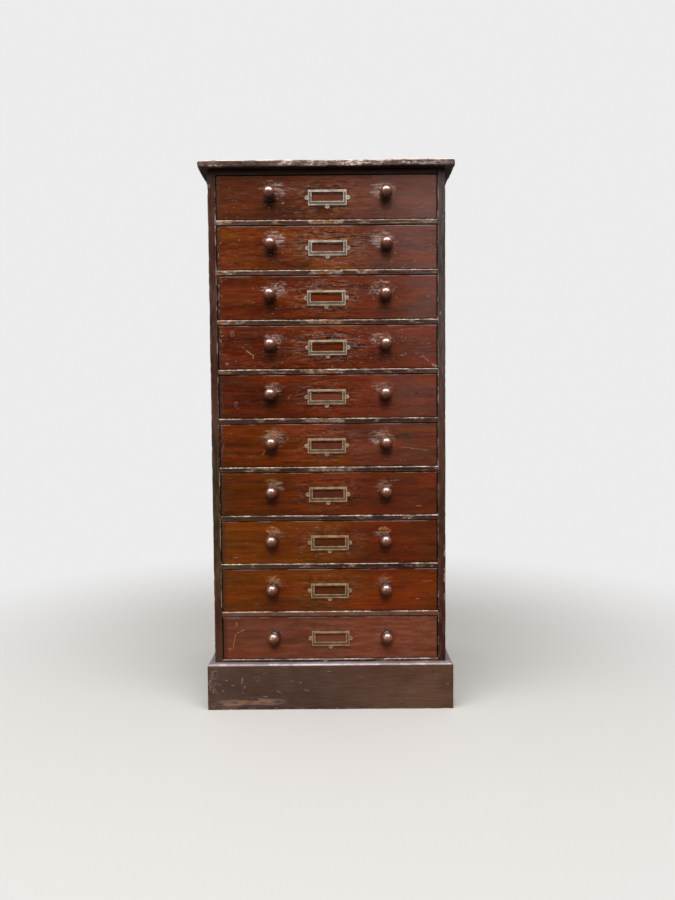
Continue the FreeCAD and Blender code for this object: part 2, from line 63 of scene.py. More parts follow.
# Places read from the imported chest
SIDE_LOW, SIDE_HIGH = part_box("side_right")
TOP_LOW, TOP_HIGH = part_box("top_board")
PLINTH_LOW, PLINTH_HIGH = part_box("plinth_front")
BOTTOM_LOW, BOTTOM_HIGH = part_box("bottom_board")
CASE_FRONT, OPENING_HALF, CASE_HALF = SIDE_LOW.y, SIDE_LOW.x, SIDE_HIGH.x
RAIL_THICKNESS = BOTTOM_HIGH.z - BOTTOM_LOW.z
PITCH = (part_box("top_rail_front")[1].z - BOTTOM_HIGH.z) / len(DRAWERS)

# Cuts beside the arrises that wear, and how far the wear reaches in from each of them
SIDE_CUTS, SIDE_REACH = (5 * MM, 14 * MM), 6 * MM
TOP_CUTS, TOP_LEVEL_CUT, TOP_REACH = (9 * MM, 18 * MM), 5 * MM, 8 * MM
RAIL_CUT, RAIL_REACH = 5 * MM, 5 * MM
PLINTH_CUT, PLINTH_REACH = 6 * MM, 7 * MM
FRONT_CUT, FRONT_REACH = 4 * MM, 3.5 * MM

# The wear on the top's ends as a share of its front's, and how much farther apart than the other cuts the
# top's cuts from front to back and the plinth's level cuts are
TOP_ENDS, TOP_COARSER, PLINTH_COARSER = 0.8, 1.6, 1.5

# The wear of an arris as a share of its deepest: its usual and its least, then where bites start in the quick
# waves and how steep they are
BITE_USUAL, BITE_LEAST, BITE_START, BITE_STEEP = 0.28, 0.05, 0.22, 2.2

# The two lengths of the waves that dent the plinth, and how near its outer face a point has to be to move
DENT_WAVE, DENT_RIPPLE, DENT_SKIN = 22 * MM, 9 * MM, 1 * MM

# The thickness of a drawer box's sides, where the grain turns
BOX_SIDE = 9 * MM

# How sharp an edge is before it's shaded flat or eased, and what counts as one flat face, in degrees
SHADED_FLAT, EASED_FROM, FLAT_WITHIN = 38, 35, 0.3

# The frame's longer side in millimetres, for the focal length
SENSOR = 36

# The floor's radius and where it fades into the backdrop, its colour for the light that it throws back and
# for the camera, the height that the lamps face as a share of the sides', and the lamps' places and sizes
FLOOR_RADIUS, FLOOR_FADE = 9, (0.5, 1.7)
FLOOR_LIT, FLOOR_SEEN = (0.30, 0.22, 0.16), (0.62, 0.60, 0.57)
LAMP_AIM = 0.55
LAMP_PLACES = {
    "overhead": ((-0.1, -1.25, 2.9), (4.4, 1.8)),
    "window": ((0.95, -3.3, 1.9), (1.0, 1.4)),
    "fill": ((-2.6, -2.6, 1.2), (3.0, 2.4)),
}


def drawer_node(number, part):
    return "drawer_%02d_%s" % (number, part)


def centre(node):
    low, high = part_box(node)
    return (low + high) / 2


def screen_tone(red, green, blue):
    """A colour given as screen values from 0 to 255, as the shader takes it."""
    def linear(level):
        share = level / 255
        return share / 12.92 if share <= 0.04045 else ((share + 0.055) / 1.055) ** 2.4
    return (linear(red), linear(green), linear(blue))


def blend(first, second, amount):
    return first * (1 - amount) + second * amount


# Settings that a user would change

def looks_of(scene):
    return scene.chest_colours, scene.chest_wear


def setting(kind, convert=float, **fixed):
    """A kind of setting, which is then made from a name, a description and a value or values."""
    def make(name, description, *values):
        return kind(name=name, description=description, default=convert(*values), **fixed)
    return make


length = setting(bpy.props.FloatProperty, unit="LENGTH", precision=5)
angle = setting(bpy.props.FloatProperty, math.radians, subtype="ANGLE", precision=4)
colour = setting(bpy.props.FloatVectorProperty, screen_tone, subtype="COLOR", min=0, max=1)
share = setting(bpy.props.FloatProperty, subtype="FACTOR", min=0, max=1)
power = setting(bpy.props.FloatProperty, unit="POWER")


class ChestWear(bpy.types.PropertyGroup):
    slice_step: length("Slice step", "Distance between the cuts that let an arris wear unevenly", 5 * MM)
    wave: length("Wave", "Length of the slow waves along a worn arris", 55 * MM)
    top_depth: length("Top wear", "Deepest wear on the top board's front edge", 2.6 * MM)
    rail_depth: length("Rail wear", "Deepest wear on the rails' upper arris", 1.5 * MM)
    stile_depth: length("Stile wear", "Deepest wear on the front arrises of the sides", 1.6 * MM)
    plinth_depth: length("Plinth wear", "Deepest wear on the plinth's arrises", 2.0 * MM)
    front_depth: length("Drawer wear", "Deepest wear on a drawer front's arrises", 0.8 * MM)
    dent_depth: length("Dents", "Depth of the dents in the plinth's face", 0.7 * MM)
    easing: length("Easing", "Width of the eased arrises of the inner boards", 0.4 * MM)
    cast_edge: length("Cast edge", "Roundness of the edges of the brass", 0.35 * MM)


class ChestColours(bpy.types.PropertyGroup):
    russet: colour("Russet", "Red-brown mahogany", 92, 32, 8)
    orange: colour("Orange", "Mahogany faded to orange", 98, 41, 4)
    crimson: colour("Crimson", "The reddest mahogany", 80, 23, 10)
    umber: colour("Umber", "Dark brown mahogany", 74, 38, 21)
    golden: colour("Golden", "The most faded mahogany", 104, 53, 0)
    plum: colour("Plum", "Mahogany under old, greyed polish", 96, 54, 42)
    terracotta: colour("Terracotta", "Smooth mahogany with a dull polish", 116, 68, 52)
    ember: colour("Ember", "Bright red-orange mahogany", 112, 42, 4)
    stain: colour("Stain", "Dark stain on the case", 70, 44, 32)
    dusty: colour("Dusty stain", "Greyed stain on the plinth and the top", 86, 65, 56)
    olive: colour("Olive", "Green-brown patina low on the left", 60, 52, 20)
    # Also the colour of the pale lines painted as highlights along the top's and the rails' upper arrises
    bare: colour("Bare wood", "Wood where the stain has worn away", 222, 200, 184)
    ochre: colour("Ochre", "Rubbed wood", 158, 106, 54)
    # Also the colour of the painted greyish sheen on the drawers and the right stile, and of the painted
    # highlights and reflections on the plinth's ledge and the lowest rails' arrises
    scuff_and_sheen: colour("Scuff", "Dry scratches in the polish", 178, 167, 171)
    pine: colour("Pine", "Bare pine inside the chest", 186, 146, 98)
    pine_dark: colour("Pine grain", "Late wood and dirt in the pine", 128, 88, 52)
    brass: colour("Brass", "Pale brass of the upper label holders", 168, 159, 146)
    bronze: colour("Bronze", "Browned brass of the lower label holders", 178, 148, 114)
    tarnish: colour("Tarnish", "Dirt in the brass", 62, 44, 30)
    knob: colour("Knob", "Handled mahogany of the knobs", 124, 58, 28)
    steel: colour("Steel", "Old nails and screws", 70, 66, 62)


class ChestLight(bpy.types.PropertyGroup):
    overhead: power("Overhead", "Wide light above the front", 96)
    window: power("Window", "Soft light at the right, which shows as a sheen on the drawers", 5)
    fill: power("Fill", "Soft light at the left", 22)
    horizon: share("Horizon", "Strength of the room's light from the sides", 0.10)
    zenith: share("Zenith", "Strength of the room's light from above", 0.75)
    backdrop: share("Backdrop", "Brightness of the plain background", 0.84)
    mirrored: share("Mirrored", "How much of the background shows in polish and brass", 0.15)


class ChestCamera(bpy.types.PropertyGroup):
    across: length("Across", "Camera's place to the right of the middle", 22 * MM)
    distance: length("Distance", "Camera's distance in front of the case", 1531 * MM)
    height: length("Height", "Camera's height above the floor", 665.6 * MM)
    pitch: angle("Pitch", "How far the camera looks down", 2.753)
    yaw: angle("Yaw", "How far the camera turns to the right", -0.07)
    roll: angle("Roll", "How far the camera is tilted", -0.468)
    focal: bpy.props.FloatProperty(name="Focal length", description="For a frame 36 mm high", default=27.08)


# Shader building

def operator(operation, reflected=False):
    """An operator between sockets and numbers, which adds its Math node."""
    def work(*values):
        return values[0].math(operation, *(reversed(values) if reflected else values))
    return work


class Link:
    """A shader socket that works in sums: each operator adds the Math node that it stands for."""

    def __init__(self, owner, socket):
        self.owner, self.socket = owner, socket

    def math(self, operation, *values):
        return self.owner.node("ShaderNodeMath", {"operation": operation}, dict(enumerate(values)))

    __add__ = __radd__ = operator("ADD")
    __sub__ = operator("SUBTRACT")
    __rsub__ = operator("SUBTRACT", reflected=True)
    __mul__ = __rmul__ = operator("MULTIPLY")
    __truediv__ = operator("DIVIDE")
    __pow__ = operator("POWER")
    __abs__ = operator("ABSOLUTE")

    # The larger of two masks
    over = operator("MAXIMUM")


class Tree:
    """A node tree being filled."""

    def __init__(self, tree):
        self.tree = tree

    def node(self, kind, settings=None, inputs=None, output=0):
        """Adds a node: its settings first, then the values or links of its sockets."""
        node = self.tree.nodes.new(kind)
        for name, value in (settings or {}).items():
            setattr(node, name, value)
        for socket, value in (inputs or {}).items():
            if isinstance(value, Link):
                self.tree.links.new(value.socket, node.inputs[socket])
            else:
                node.inputs[socket].default_value = value
        return Link(self, node.outputs[output])


class Finish(Tree):
    """A material being made. Its patterns are in metres, in the chest's own frame, moved by its shift."""

    def __init__(self, name, shift=(0, 0, 0), **fixed):
        self.material = bpy.data.materials.new(name)
        self.material.use_nodes = True
        super().__init__(self.material.node_tree)
        self.shift = shift
        self.shader = self.tree.nodes["Principled BSDF"]
        for socket, value in fixed.items():
            self.shader.inputs[socket.replace("_", " ")].default_value = value
        self.place = self.node("ShaderNodeTexCoord", output="Object")
        split = self.node("ShaderNodeSeparateXYZ", inputs={0: self.place}).socket.node
        self.x, self.y, self.z = (Link(self, socket) for socket in split.outputs)

    def feed(self, **links):
        """Links values to the shader's sockets, and gives the finished material."""
        for socket, link in links.items():
            self.tree.links.new(link.socket, self.shader.inputs[socket.replace("_", " ")])
        return self.material

    def step(self, value, start, end, smooth="SMOOTHSTEP"):
        """Rises from 0 at start to 1 at end."""
        values = {0: value, 1: start, 2: end, 3: 0.0, 4: 1.0}
        return self.node("ShaderNodeMapRange", {"interpolation_type": smooth}, values)

    def near(self, value, place, start, end):
        """Rises in the same way, with start and end in millimetres from a place."""
        return self.step(value, place + start * MM, place + end * MM)

    def band(self, value, low, high, soft):
        """1 between low and high, with soft edges."""
        return self.step(value, low - soft, low + soft) * self.step(value, high + soft, high - soft)

    def noise(self, scale, detail, low=None, high=None, turn=(0, 0, 0), shift=None):
        """Noise with its own scale along each axis. Low and high, where given, become 0 and 1."""
        moved = self.shift if shift is None else shift
        place = self.node("ShaderNodeMapping", inputs={0: self.place, 1: moved, 2: turn, 3: scale})
        value = self.node("ShaderNodeTexNoise", inputs={0: place, "Scale": 1.0, "Detail": detail})
        return value if low is None else self.step(value, low, high)

    def spots(self, scale, radius, rarity):
        """Scattered small spots. Rarity is the share of places that have none."""
        place = self.node("ShaderNodeMapping", inputs={0: self.place, 1: self.shift, 3: scale})
        near = self.node("ShaderNodeTexVoronoi", inputs={0: place, "Scale": 1.0})
        hue = near.socket.node.outputs["Color"]
        pick = self.node("ShaderNodeSeparateColor", inputs={0: Link(self, hue)})
        return self.step(near, radius, radius * 0.5) * self.step(pick, rarity, rarity + 0.01)

    def round_spot(self, x, z, wide, high, hard=0.35, ragged=0.0):
        """1 inside an upright oval on the front, fading to 0 at its edge, which can be ragged."""
        out = ((self.x - x) / wide) ** 2 + ((self.z - z) / high) ** 2 + ragged
        return self.step(out, 1.0, hard)

    def stroke(self, x, z, run, width, slope, wobble):
        """A short mark on an upright face, with a slope in degrees. Its ends fade."""
        turn = math.radians(slope)
        right, up = self.x - x, self.z - z
        forward = right * math.cos(turn) + up * math.sin(turn)
        side = up * math.cos(turn) - right * math.sin(turn) + wobble
        return self.step(abs(forward), run / 2, run * 0.3) * self.step(abs(side), width / 2, width / 6)

    def strokes(self, middle, marks):
        """All of the marks, given in millimetres from a height."""
        wobble = (self.noise((110, 110, 110), 3, shift=(0, 0, 0)) - 0.5) * 5 * MM
        return reduce(Link.over, [
            self.stroke(x * MM, middle + z * MM, run * MM, width * MM, slope, wobble)
            for x, z, run, width, slope in marks
        ])

    def mix(self, factor, first, second):
        values = {0: factor, 6: self.paint(first), 7: self.paint(second)}
        return self.node("ShaderNodeMix", {"data_type": "RGBA"}, values, output=2)

    def layers(self, under, *coats):
        """Colours laid over one another, each with its mask."""
        for mask, colour in coats:
            under = self.mix(mask, under, colour)
        return under

    def shade(self, colour, amount):
        """A colour darkened or lightened by a number that varies over the surface."""
        settings = {"data_type": "RGBA", "blend_type": "MULTIPLY"}
        return self.node("ShaderNodeMix", settings, {0: 1.0, 6: self.paint(colour), 7: amount}, output=2)

    def paint(self, colour):
        """A colour as a Mix node takes it."""
        return colour if isinstance(colour, Link) else (*colour, 1.0)

    def bump(self, height, depth, strength):
        return self.node("ShaderNodeBump", inputs={"Strength": strength, "Distance": depth, "Height": height})


def along(axis, fine, broad):
    """Noise scales for grain that runs along an axis: broad in that direction, fine across it."""
    return tuple(broad if place == axis else fine for place in "xyz")


def stained_finish(name, colours, axis, wear, stain=None, warmth=0.7, scratched=1.0, lively=1.0):
    """Dark stain over wood whose grain runs along an axis. The wear function gives (mask, bare colour)."""
    coat = Finish(name, Coat_Roughness=0.2, Specular_IOR_Level=0.3, Specular_Tint=(1, 0.8, 0.7, 1))
    figure = coat.noise(along(axis, 30, 3.0), 4, 0.35, 0.66)
    mottle = coat.noise(along(axis, 190, 30), 4, 0.34, 0.66)
    fibre = coat.noise(along(axis, 700, 24), 3, 0.3, 0.7)
    cloud = coat.noise((11, 11, 11), 3, 0.38, 0.62)
    warm = coat.noise((5, 5, 3.4), 2, 0.42, 0.60)
    mossy = coat.step(coat.x, -0.10, -0.22) * coat.band(coat.z, 0.30, 0.60, 0.09) * (0.55 + 0.4 * cloud)
    # A painted greyish sheen high on the right, a painted reflection in the scuff colour
    painted_stile_sheen = coat.step(coat.x, 0.17, 0.25) * coat.step(coat.z, 0.55, 0.9) * 0.55
    faded = coat.step(coat.x, -0.05, 0.25) * coat.near(coat.z, PLINTH_HIGH.z, 5, 0)
    dark = coat.layers(
        stain or colours.stain,
        (warm * warmth, colours.crimson * 0.5),
        (mossy * coat.near(coat.y, CASE_FRONT, 90, 20), colours.olive),
        (painted_stile_sheen, colours.scuff_and_sheen * 0.15),
        (faded * 0.5, blend(colours.dusty, colours.ochre, 0.15) * 1.3),
    )
    grain = (figure - 0.5) * 0.42 + (mottle - 0.5) * 0.56
    dark = coat.shade(dark, 0.85 + grain * lively + cloud * 0.3)
    worn, bare = wear(coat, colours)
    nicks = coat.spots(along(axis, 150, 60), 0.34, 1 - 0.05 * scratched)
    scratch = coat.noise(along(axis, 700, 9), 2, 0.675, 0.71)
    slanted = coat.noise((160, 160, 900), 1, 0.71, 0.74, turn=(0, 0.5, 0))
    marks = (nicks * 0.5).over(scratch * 0.35 * scratched).over(slanted * 0.3 * scratched)
    surface = coat.layers(dark, (marks, colours.scuff_and_sheen * 0.75), (worn, bare))
    surface = coat.shade(surface, 0.84 + fibre * 0.3)
    shadow = coat.near(coat.z, TOP_LOW.z, -60, -10) * 0.5
    shadow = shadow.over(coat.near(coat.z, TOP_LOW.z, -12, -8) * 0.82) * coat.near(coat.z, TOP_LOW.z, 1, 0)
    surface = coat.shade(surface, 1 - shadow)
    dull = worn.over(shadow)
    rough = 0.30 + cloud * 0.14 + marks * 0.25 + dull * 0.3
    height = fibre * 0.25 + mottle * 0.45 - marks * 0.5 - worn * 0.6
    return coat.feed(Base_Color=surface, Roughness=rough, Normal=coat.bump(height, 0.3 * MM, 0.6),
                     Coat_Weight=(1 - dull) * (0.05 + 0.15 * mottle))


# Each wear function gives the mask and the colour of the bare wood of its boards; on the rails, the top and
# the plinth these also carry painted highlights, a painted reflection and painted shade. Regions of the chest
# are given in metres, and narrow bands beside an arris in millimetres from it.

def rail_wear(coat, colours):
    turns = (coat.z - (BOTTOM_HIGH.z - PITCH / 2)) / PITCH
    drop = PITCH / 2 - turns.math("FRACT", turns) * PITCH
    crumbs = coat.noise((120, 120, 300), 4, 0.45, 0.56)
    hues = coat.noise((60, 60, 120), 3, 0.44, 0.56)
    patches = coat.noise((30, 30, 70), 4)
    middle = coat.near(abs(coat.x + 3 * MM), 0, 48, 28) * coat.step(coat.z, 0.40, 0.52)
    left = coat.step(coat.x, -0.206, -0.226) * coat.step(coat.z, 0.70, 0.80)
    right = coat.step(coat.x, 0.19, 0.22) * coat.step(coat.z, 1.02, 1.08)
    reach = middle * 0.27 + left * 0.22 + right * 0.12
    rubbed = coat.step(patches + reach, 0.52, 0.66) * (0.3 + 0.7 * crumbs)
    below_top = coat.step(coat.z, 1.19, 1.18)
    open_face = coat.near(coat.y, CASE_FRONT, 2, 0) * below_top
    broken = coat.noise((20, 20, 60), 4, 0.38, 0.52)
    kept = (0.25 + broken * 0.75) * (0.6 + crumbs * 0.4)
    kept = kept.over(coat.step(coat.z, 0.6, 1.0) * (0.4 + 0.5 * crumbs))
    # The upper arris of each rail: worn pale, and painted bright as a painted highlight
    arris = coat.near(drop, 0, 2.8, 1.3) * kept
    # Painted shade along the lower edge of each rail, over the gap above the drawer below
    foot = coat.near(drop, RAIL_THICKNESS, -3, -1) * coat.near(coat.z, BOTTOM_HIGH.z, 0, 5)
    lowest = coat.band(coat.z, BOTTOM_HIGH.z + PITCH - 11 * MM, BOTTOM_HIGH.z + PITCH - 2 * MM, 1 * MM)
    lowest = lowest * (0.5 + 0.4 * patches)
    bare = coat.layers(
        colours.ochre * 0.85,
        (hues, colours.bare * 0.45),
        (arris, coat.mix(coat.step(coat.z, 0.22, 0.13), colours.bare, colours.scuff_and_sheen * 1.3)),
        (foot, colours.stain * 0.2),
        (lowest, colours.terracotta * 0.9),
    )
    return (rubbed * open_face * 0.85).over(arris * below_top).over(foot).over(lowest), bare


def stile_wear(coat, colours):
    inner = coat.near(abs(abs(coat.x) - OPENING_HALF), 0, 3.2, 0.8)
    outer = coat.near(abs(abs(coat.x) - CASE_HALF), 0, 2.2, 0.5)
    front = coat.near(coat.y, CASE_FRONT, 4, 1)
    chips = coat.step(coat.noise((150, 150, 40), 3) + coat.step(coat.x, 0, -0.1) * 0.04, 0.56, 0.62)
    small = coat.noise((300, 300, 130), 3, 0.58, 0.66)
    worn = (inner * chips.over(small)).over(outer * chips * 0.6)
    knocked = coat.near(coat.x, CASE_HALF, -6, -2) * coat.band(coat.z, 0.25, 0.37, 0.02)
    worn = worn.over(knocked * coat.noise((90, 90, 60), 3, 0.45, 0.56)) * front * 0.85
    return worn, coat.mix(small, colours.bare * 0.55, colours.ochre)


def top_wear(coat, colours):
    reach = TOP_HIGH.x
    side = coat.near(abs(coat.x), reach, -7, -2)
    front = coat.near(coat.y, TOP_LOW.y, 9, 3)
    rim = side.over(front)
    blotch = coat.noise((22, 22, 80), 4, 0.44, 0.60)
    crumbs = coat.noise((90, 90, 280), 5, 0.42, 0.52)
    fine = coat.noise((210, 210, 420), 4, 0.40, 0.60)
    middle = coat.step(abs(coat.x - 6 * MM), 0.20, 0.02)
    edge = rim * (crumbs * (0.25 + 0.75 * blotch)).over(blotch * middle * 0.6)
    edge = edge * (0.65 + 0.35 * middle) * (1 - 0.5 * coat.step(coat.x, 0.19, 0.27))
    nose = coat.near(coat.y, TOP_LOW.y, 6, 2.5)
    # A pale line along the top's upper front arris: worn wood, painted brighter as a painted highlight
    lip_wear_and_highlight = coat.near(coat.z, TOP_HIGH.z, -3.6, -1.6) * nose.over(side * 0.3)
    lip_wear_and_highlight = lip_wear_and_highlight * coat.noise((46, 46, 46), 3, 0.30, 0.50)
    upper = coat.near(coat.z, TOP_HIGH.z, -2, 0) * (1 - rim)
    rubbed = coat.noise((3, 26, 3), 4, 0.50, 0.72) * upper * 0.22
    weathered = coat.layers(
        colours.scuff_and_sheen * 0.36,
        (blotch, blend(colours.scuff_and_sheen, colours.bare, 0.2) * 0.8),
        (fine * 0.25, colours.ochre * 0.8),
        (middle * 0.55, colours.bare * 0.8),
    )
    weathered = coat.shade(weathered, 0.35 + 1.5 * fine)
    weathered = coat.layers(weathered, (upper, colours.scuff_and_sheen * 0.45), (lip_wear_and_highlight, colours.bare * 1.15))
    return edge.over(lip_wear_and_highlight * 0.95).over(rubbed), weathered


# Marks on the plinth's front board: the place from the middle and the floor, the length, width and slope.
PLINTH_NICKS = (
    (-168, 76, 10, 3, 0), (-165, 66, 9, 3, -16), (-150, 84, 13, 3, 10), (-70, 63, 12, 4, -12),
    (-237, 69, 7, 4, 0), (-223, 57, 9, 4, -16), (-118, 41, 13, 4, -24), (-55, 45, 15, 3, -22),
    (-149, 31, 14, 4, -10), (66, 76, 18, 3, -12), (241, 80, 9, 4, 90), (-262, 90, 16, 4, 0),
    (-253, 60, 11, 4, -20), (-246, 44, 10, 4, 10), (-3, 88, 9, 4, -10), (-88, 66, 10, 3, 0),
    (186, 92, 10, 3, 0), (179, 40, 7, 5, 0), (139, 41, 6, 4, 0),
)
PLINTH_GOUGES = ((-202, 67, 16, 5, 84), (-196, 52, 8, 3, 60))


def plinth_wear(coat, colours):
    # The plinth's top band and ledge: worn, and painted a pale bluish colour as a painted reflection
    upper = coat.near(coat.z, PLINTH_HIGH.z, -5, -1)
    patches = coat.noise((30, 30, 60), 4, 0.45, 0.60)
    corner = coat.near(coat.x, PLINTH_LOW.x, 30, 4) * coat.near(coat.z, 0, 98, 80)
    knocks = coat.noise((190, 190, 150), 4, 0.50, 0.60)
    wave = coat.noise((14, 14, 14), 2) * 16 * MM
    strip = coat.band(coat.z - wave, 3 * MM, 16 * MM, 4 * MM) * coat.band(coat.x, -0.245, -0.12, 0.03)
    strip = strip * coat.noise((40, 40, 160), 3, 0.38, 0.55)
    foot = coat.near(coat.z, 0, 7, 2) * coat.noise((60, 60, 60), 3, 0.50, 0.58)
    on_front = coat.near(coat.y, PLINTH_LOW.y, 2, 1)
    crumbs = coat.noise((260, 260, 260), 2, 0.32, 0.5)
    nicks = coat.strokes(0, PLINTH_NICKS) * on_front * crumbs * 0.45
    gouges = coat.strokes(0, PLINTH_GOUGES) * on_front * crumbs * 0.8
    rubbed = (strip * 0.9).over(foot * 0.3).over(gouges)
    # A painted highlight along the worn nose, and a painted reflection on the flat top of the ledge
    nose = coat.near(coat.y, PLINTH_LOW.y, 4.4, 2.4) * coat.near(coat.z, PLINTH_HIGH.z, -4.4, -2.4)
    flat = coat.near(coat.z, PLINTH_HIGH.z, -1.2, -0.4)
    worn = rubbed.over(upper * (0.6 + patches * 0.3)).over(nicks).over(nose * (0.55 + 0.45 * patches))
    worn = worn.over(corner * on_front * knocks * 0.5)
    hues = coat.noise((120, 120, 120), 2, 0.40, 0.52) * corner
    hues = hues.over(coat.near(coat.x, 0, 0, 40) * on_front * 0.7)
    bare = coat.layers(
        colours.scuff_and_sheen * 0.8,
        (hues, colours.terracotta * 1.1),
        (flat, colours.scuff_and_sheen * 0.62),
        (nose, colours.scuff_and_sheen * 1.5),
        (rubbed, colours.ochre),
    )
    return worn, bare


# Each drawer front, from the top down: its tone at the left, at the right and inside the label holder, how
# strong the painted greyish sheen, a painted reflection, is at the right, how strong its figure is, how
# mottled and how scratched it is, how dry the polish is round its knobs and how many millimetres that
# reaches, and how much bare wood shows above them.
FrontLook = namedtuple("FrontLook", "left right window greyed figured mottled scratched dry spread bare")
FRONT_LOOKS = [FrontLook(*row) for row in (
    (("umber", 0.75), ("plum", 0.94), ("plum", 1.1), 0.60, 0.3, 0.5, 0.45, 1.0, 29, 0.0),
    (("orange", 0.92), ("plum", 0.97), ("plum", 1.0), 0.50, 0.6, 0.8, 0.8, 1.0, 30, 0.1),
    (("russet", 0.95), ("russet", 1.15), ("russet", 1.15), 0.50, 0.6, 0.7, 0.7, 0.9, 30, 0.0),
    (("crimson", 0.88), ("russet", 1.22), ("russet", 0.85), 0.28, 0.6, 0.9, 0.8, 0.8, 26, 0.1),
    (("crimson", 0.6), ("russet", 1.6), ("terracotta", 1.1), 0.45, 0.6, 0.5, 0.3, 0.8, 24, 0.15),
    (("orange", 1.05), ("plum", 0.95), ("plum", 1.0), 0.20, 0.8, 0.6, 0.4, 0.6, 32, 0.45),
    (("golden", 0.52), ("russet", 1.0), ("plum", 0.8), 0.15, 0.7, 0.5, 0.25, 0.6, 20, 0.35),
    (("golden", 1.2), ("russet", 1.0), ("umber", 0.9), 0.00, 0.6, 0.5, 0.3, 0.3, 20, 1.0),
    (("golden", 0.95), ("ember", 1.0), ("umber", 0.75), 0.00, 0.7, 0.5, 0.25, 0.3, 20, 0.55),
    (("terracotta", 1.1), ("terracotta", 1.55), ("terracotta", 1.1), 0.10, 0.45, 0.12, 0.08, 0.1, 24, 0.0),
)]

# Marks on the drawer fronts: the place from the middle, the length, width and slope.
PALE_MARKS = {
    1: ((-80, 20, 30, 1.6, -14), (-86, 16, 20, 1.4, -20), (-97, -12, 6, 5, 0)),
    2: ((29, -34, 46, 1.6, -6), (-128, -2, 12, 3, 20)),
    4: ((-216.5, 28, 8, 2.2, 105), (-216.5, 35, 8, 2.2, 75), (-211.5, 28, 8, 2.2, 75),
        (-211.5, 35, 8, 2.2, 105), (-237, 27, 9, 4, 0), (-176, -12, 24, 4, -40), (-167, -20, 12, 4, 80),
        (-227, -36, 7, 7, 0), (219, -27, 26, 2, -35), (212, -22, 16, 2, 30), (241, -43, 18, 8, -24)),
    5: ((-210.5, -19, 7, 1.6, 105), (-210.5, -13, 7, 1.6, 75), (-206, -19, 7, 1.6, 75),
        (-206, -13, 7, 1.6, 105), (-88, -1, 14, 1.6, 58)),
    6: ((193, -9, 76, 1.6, -6), (107, 8, 22, 12, 0)),
    7: ((203, -29, 16, 1.8, 0), (150, 30, 26, 1.6, 4)),
    8: ((-214, -34, 12, 2.6, -8), (-30, 34, 14, 1.8, 10)),
    9: ((200, -21, 12, 2.4, 0), (224, 19, 26, 1.8, 4)),
}
SMUDGES = {
    1: ((-62, -36, 26, 16, -40), (-30, -30, 30, 12, 5)),
    8: ((-64, -16, 24, 13, 80),),
    9: ((-168, -34, 16, 9, 70), (-160, -22, 10, 8, 30)),
}
WARM_MARKS = {
    6: ((-128, 30, 36, 3, -15), (-110, 22, 24, 3, -42), (-142, 22, 18, 3, 42), (-148, -16, 14, 3, 60)),
    7: ((-124, 24, 22, 3, -8),),
    9: ((-146, 26, 18, 2, -60), (-120, 22, 14, 2, 70)),
    10: ((-215, 33, 12, 5, 86), (-220, -4, 40, 3.2, 78), (-205, 16, 22, 2.6, 23), (-229, -25, 12, 3, -20)),
}
DARK_MARKS = {5: ((200, 6, 10, 5, -40),), 8: ((186, -13, 9, 7, 0), (166, -9, 6, 3, -60))}

# Brighter patches in the polish: the tone and its strength, the place from the middle, and half the width
# and height.
GLOWS = {
    2: (("golden", 1.6, -97, 31, 45, 14), ("golden", 1.7, 20, -43, 85, 9), ("golden", 1.2, -215, 26, 40, 16)),
    5: (("ember", 1.4, 196, -12, 42, 13),),
    6: (("golden", 1.3, 18, -36, 42, 12),),
    7: (("ember", 1.2, 222, 22, 30, 13), ("crimson", 1.8, 100, -40, 120, 9)),
    9: (("ember", 1.4, 214, 8, 36, 16),),
    10: (("ember", 1.3, 220, -26, 40, 12), ("ember", 1.3, 88, 38, 36, 8)),
}


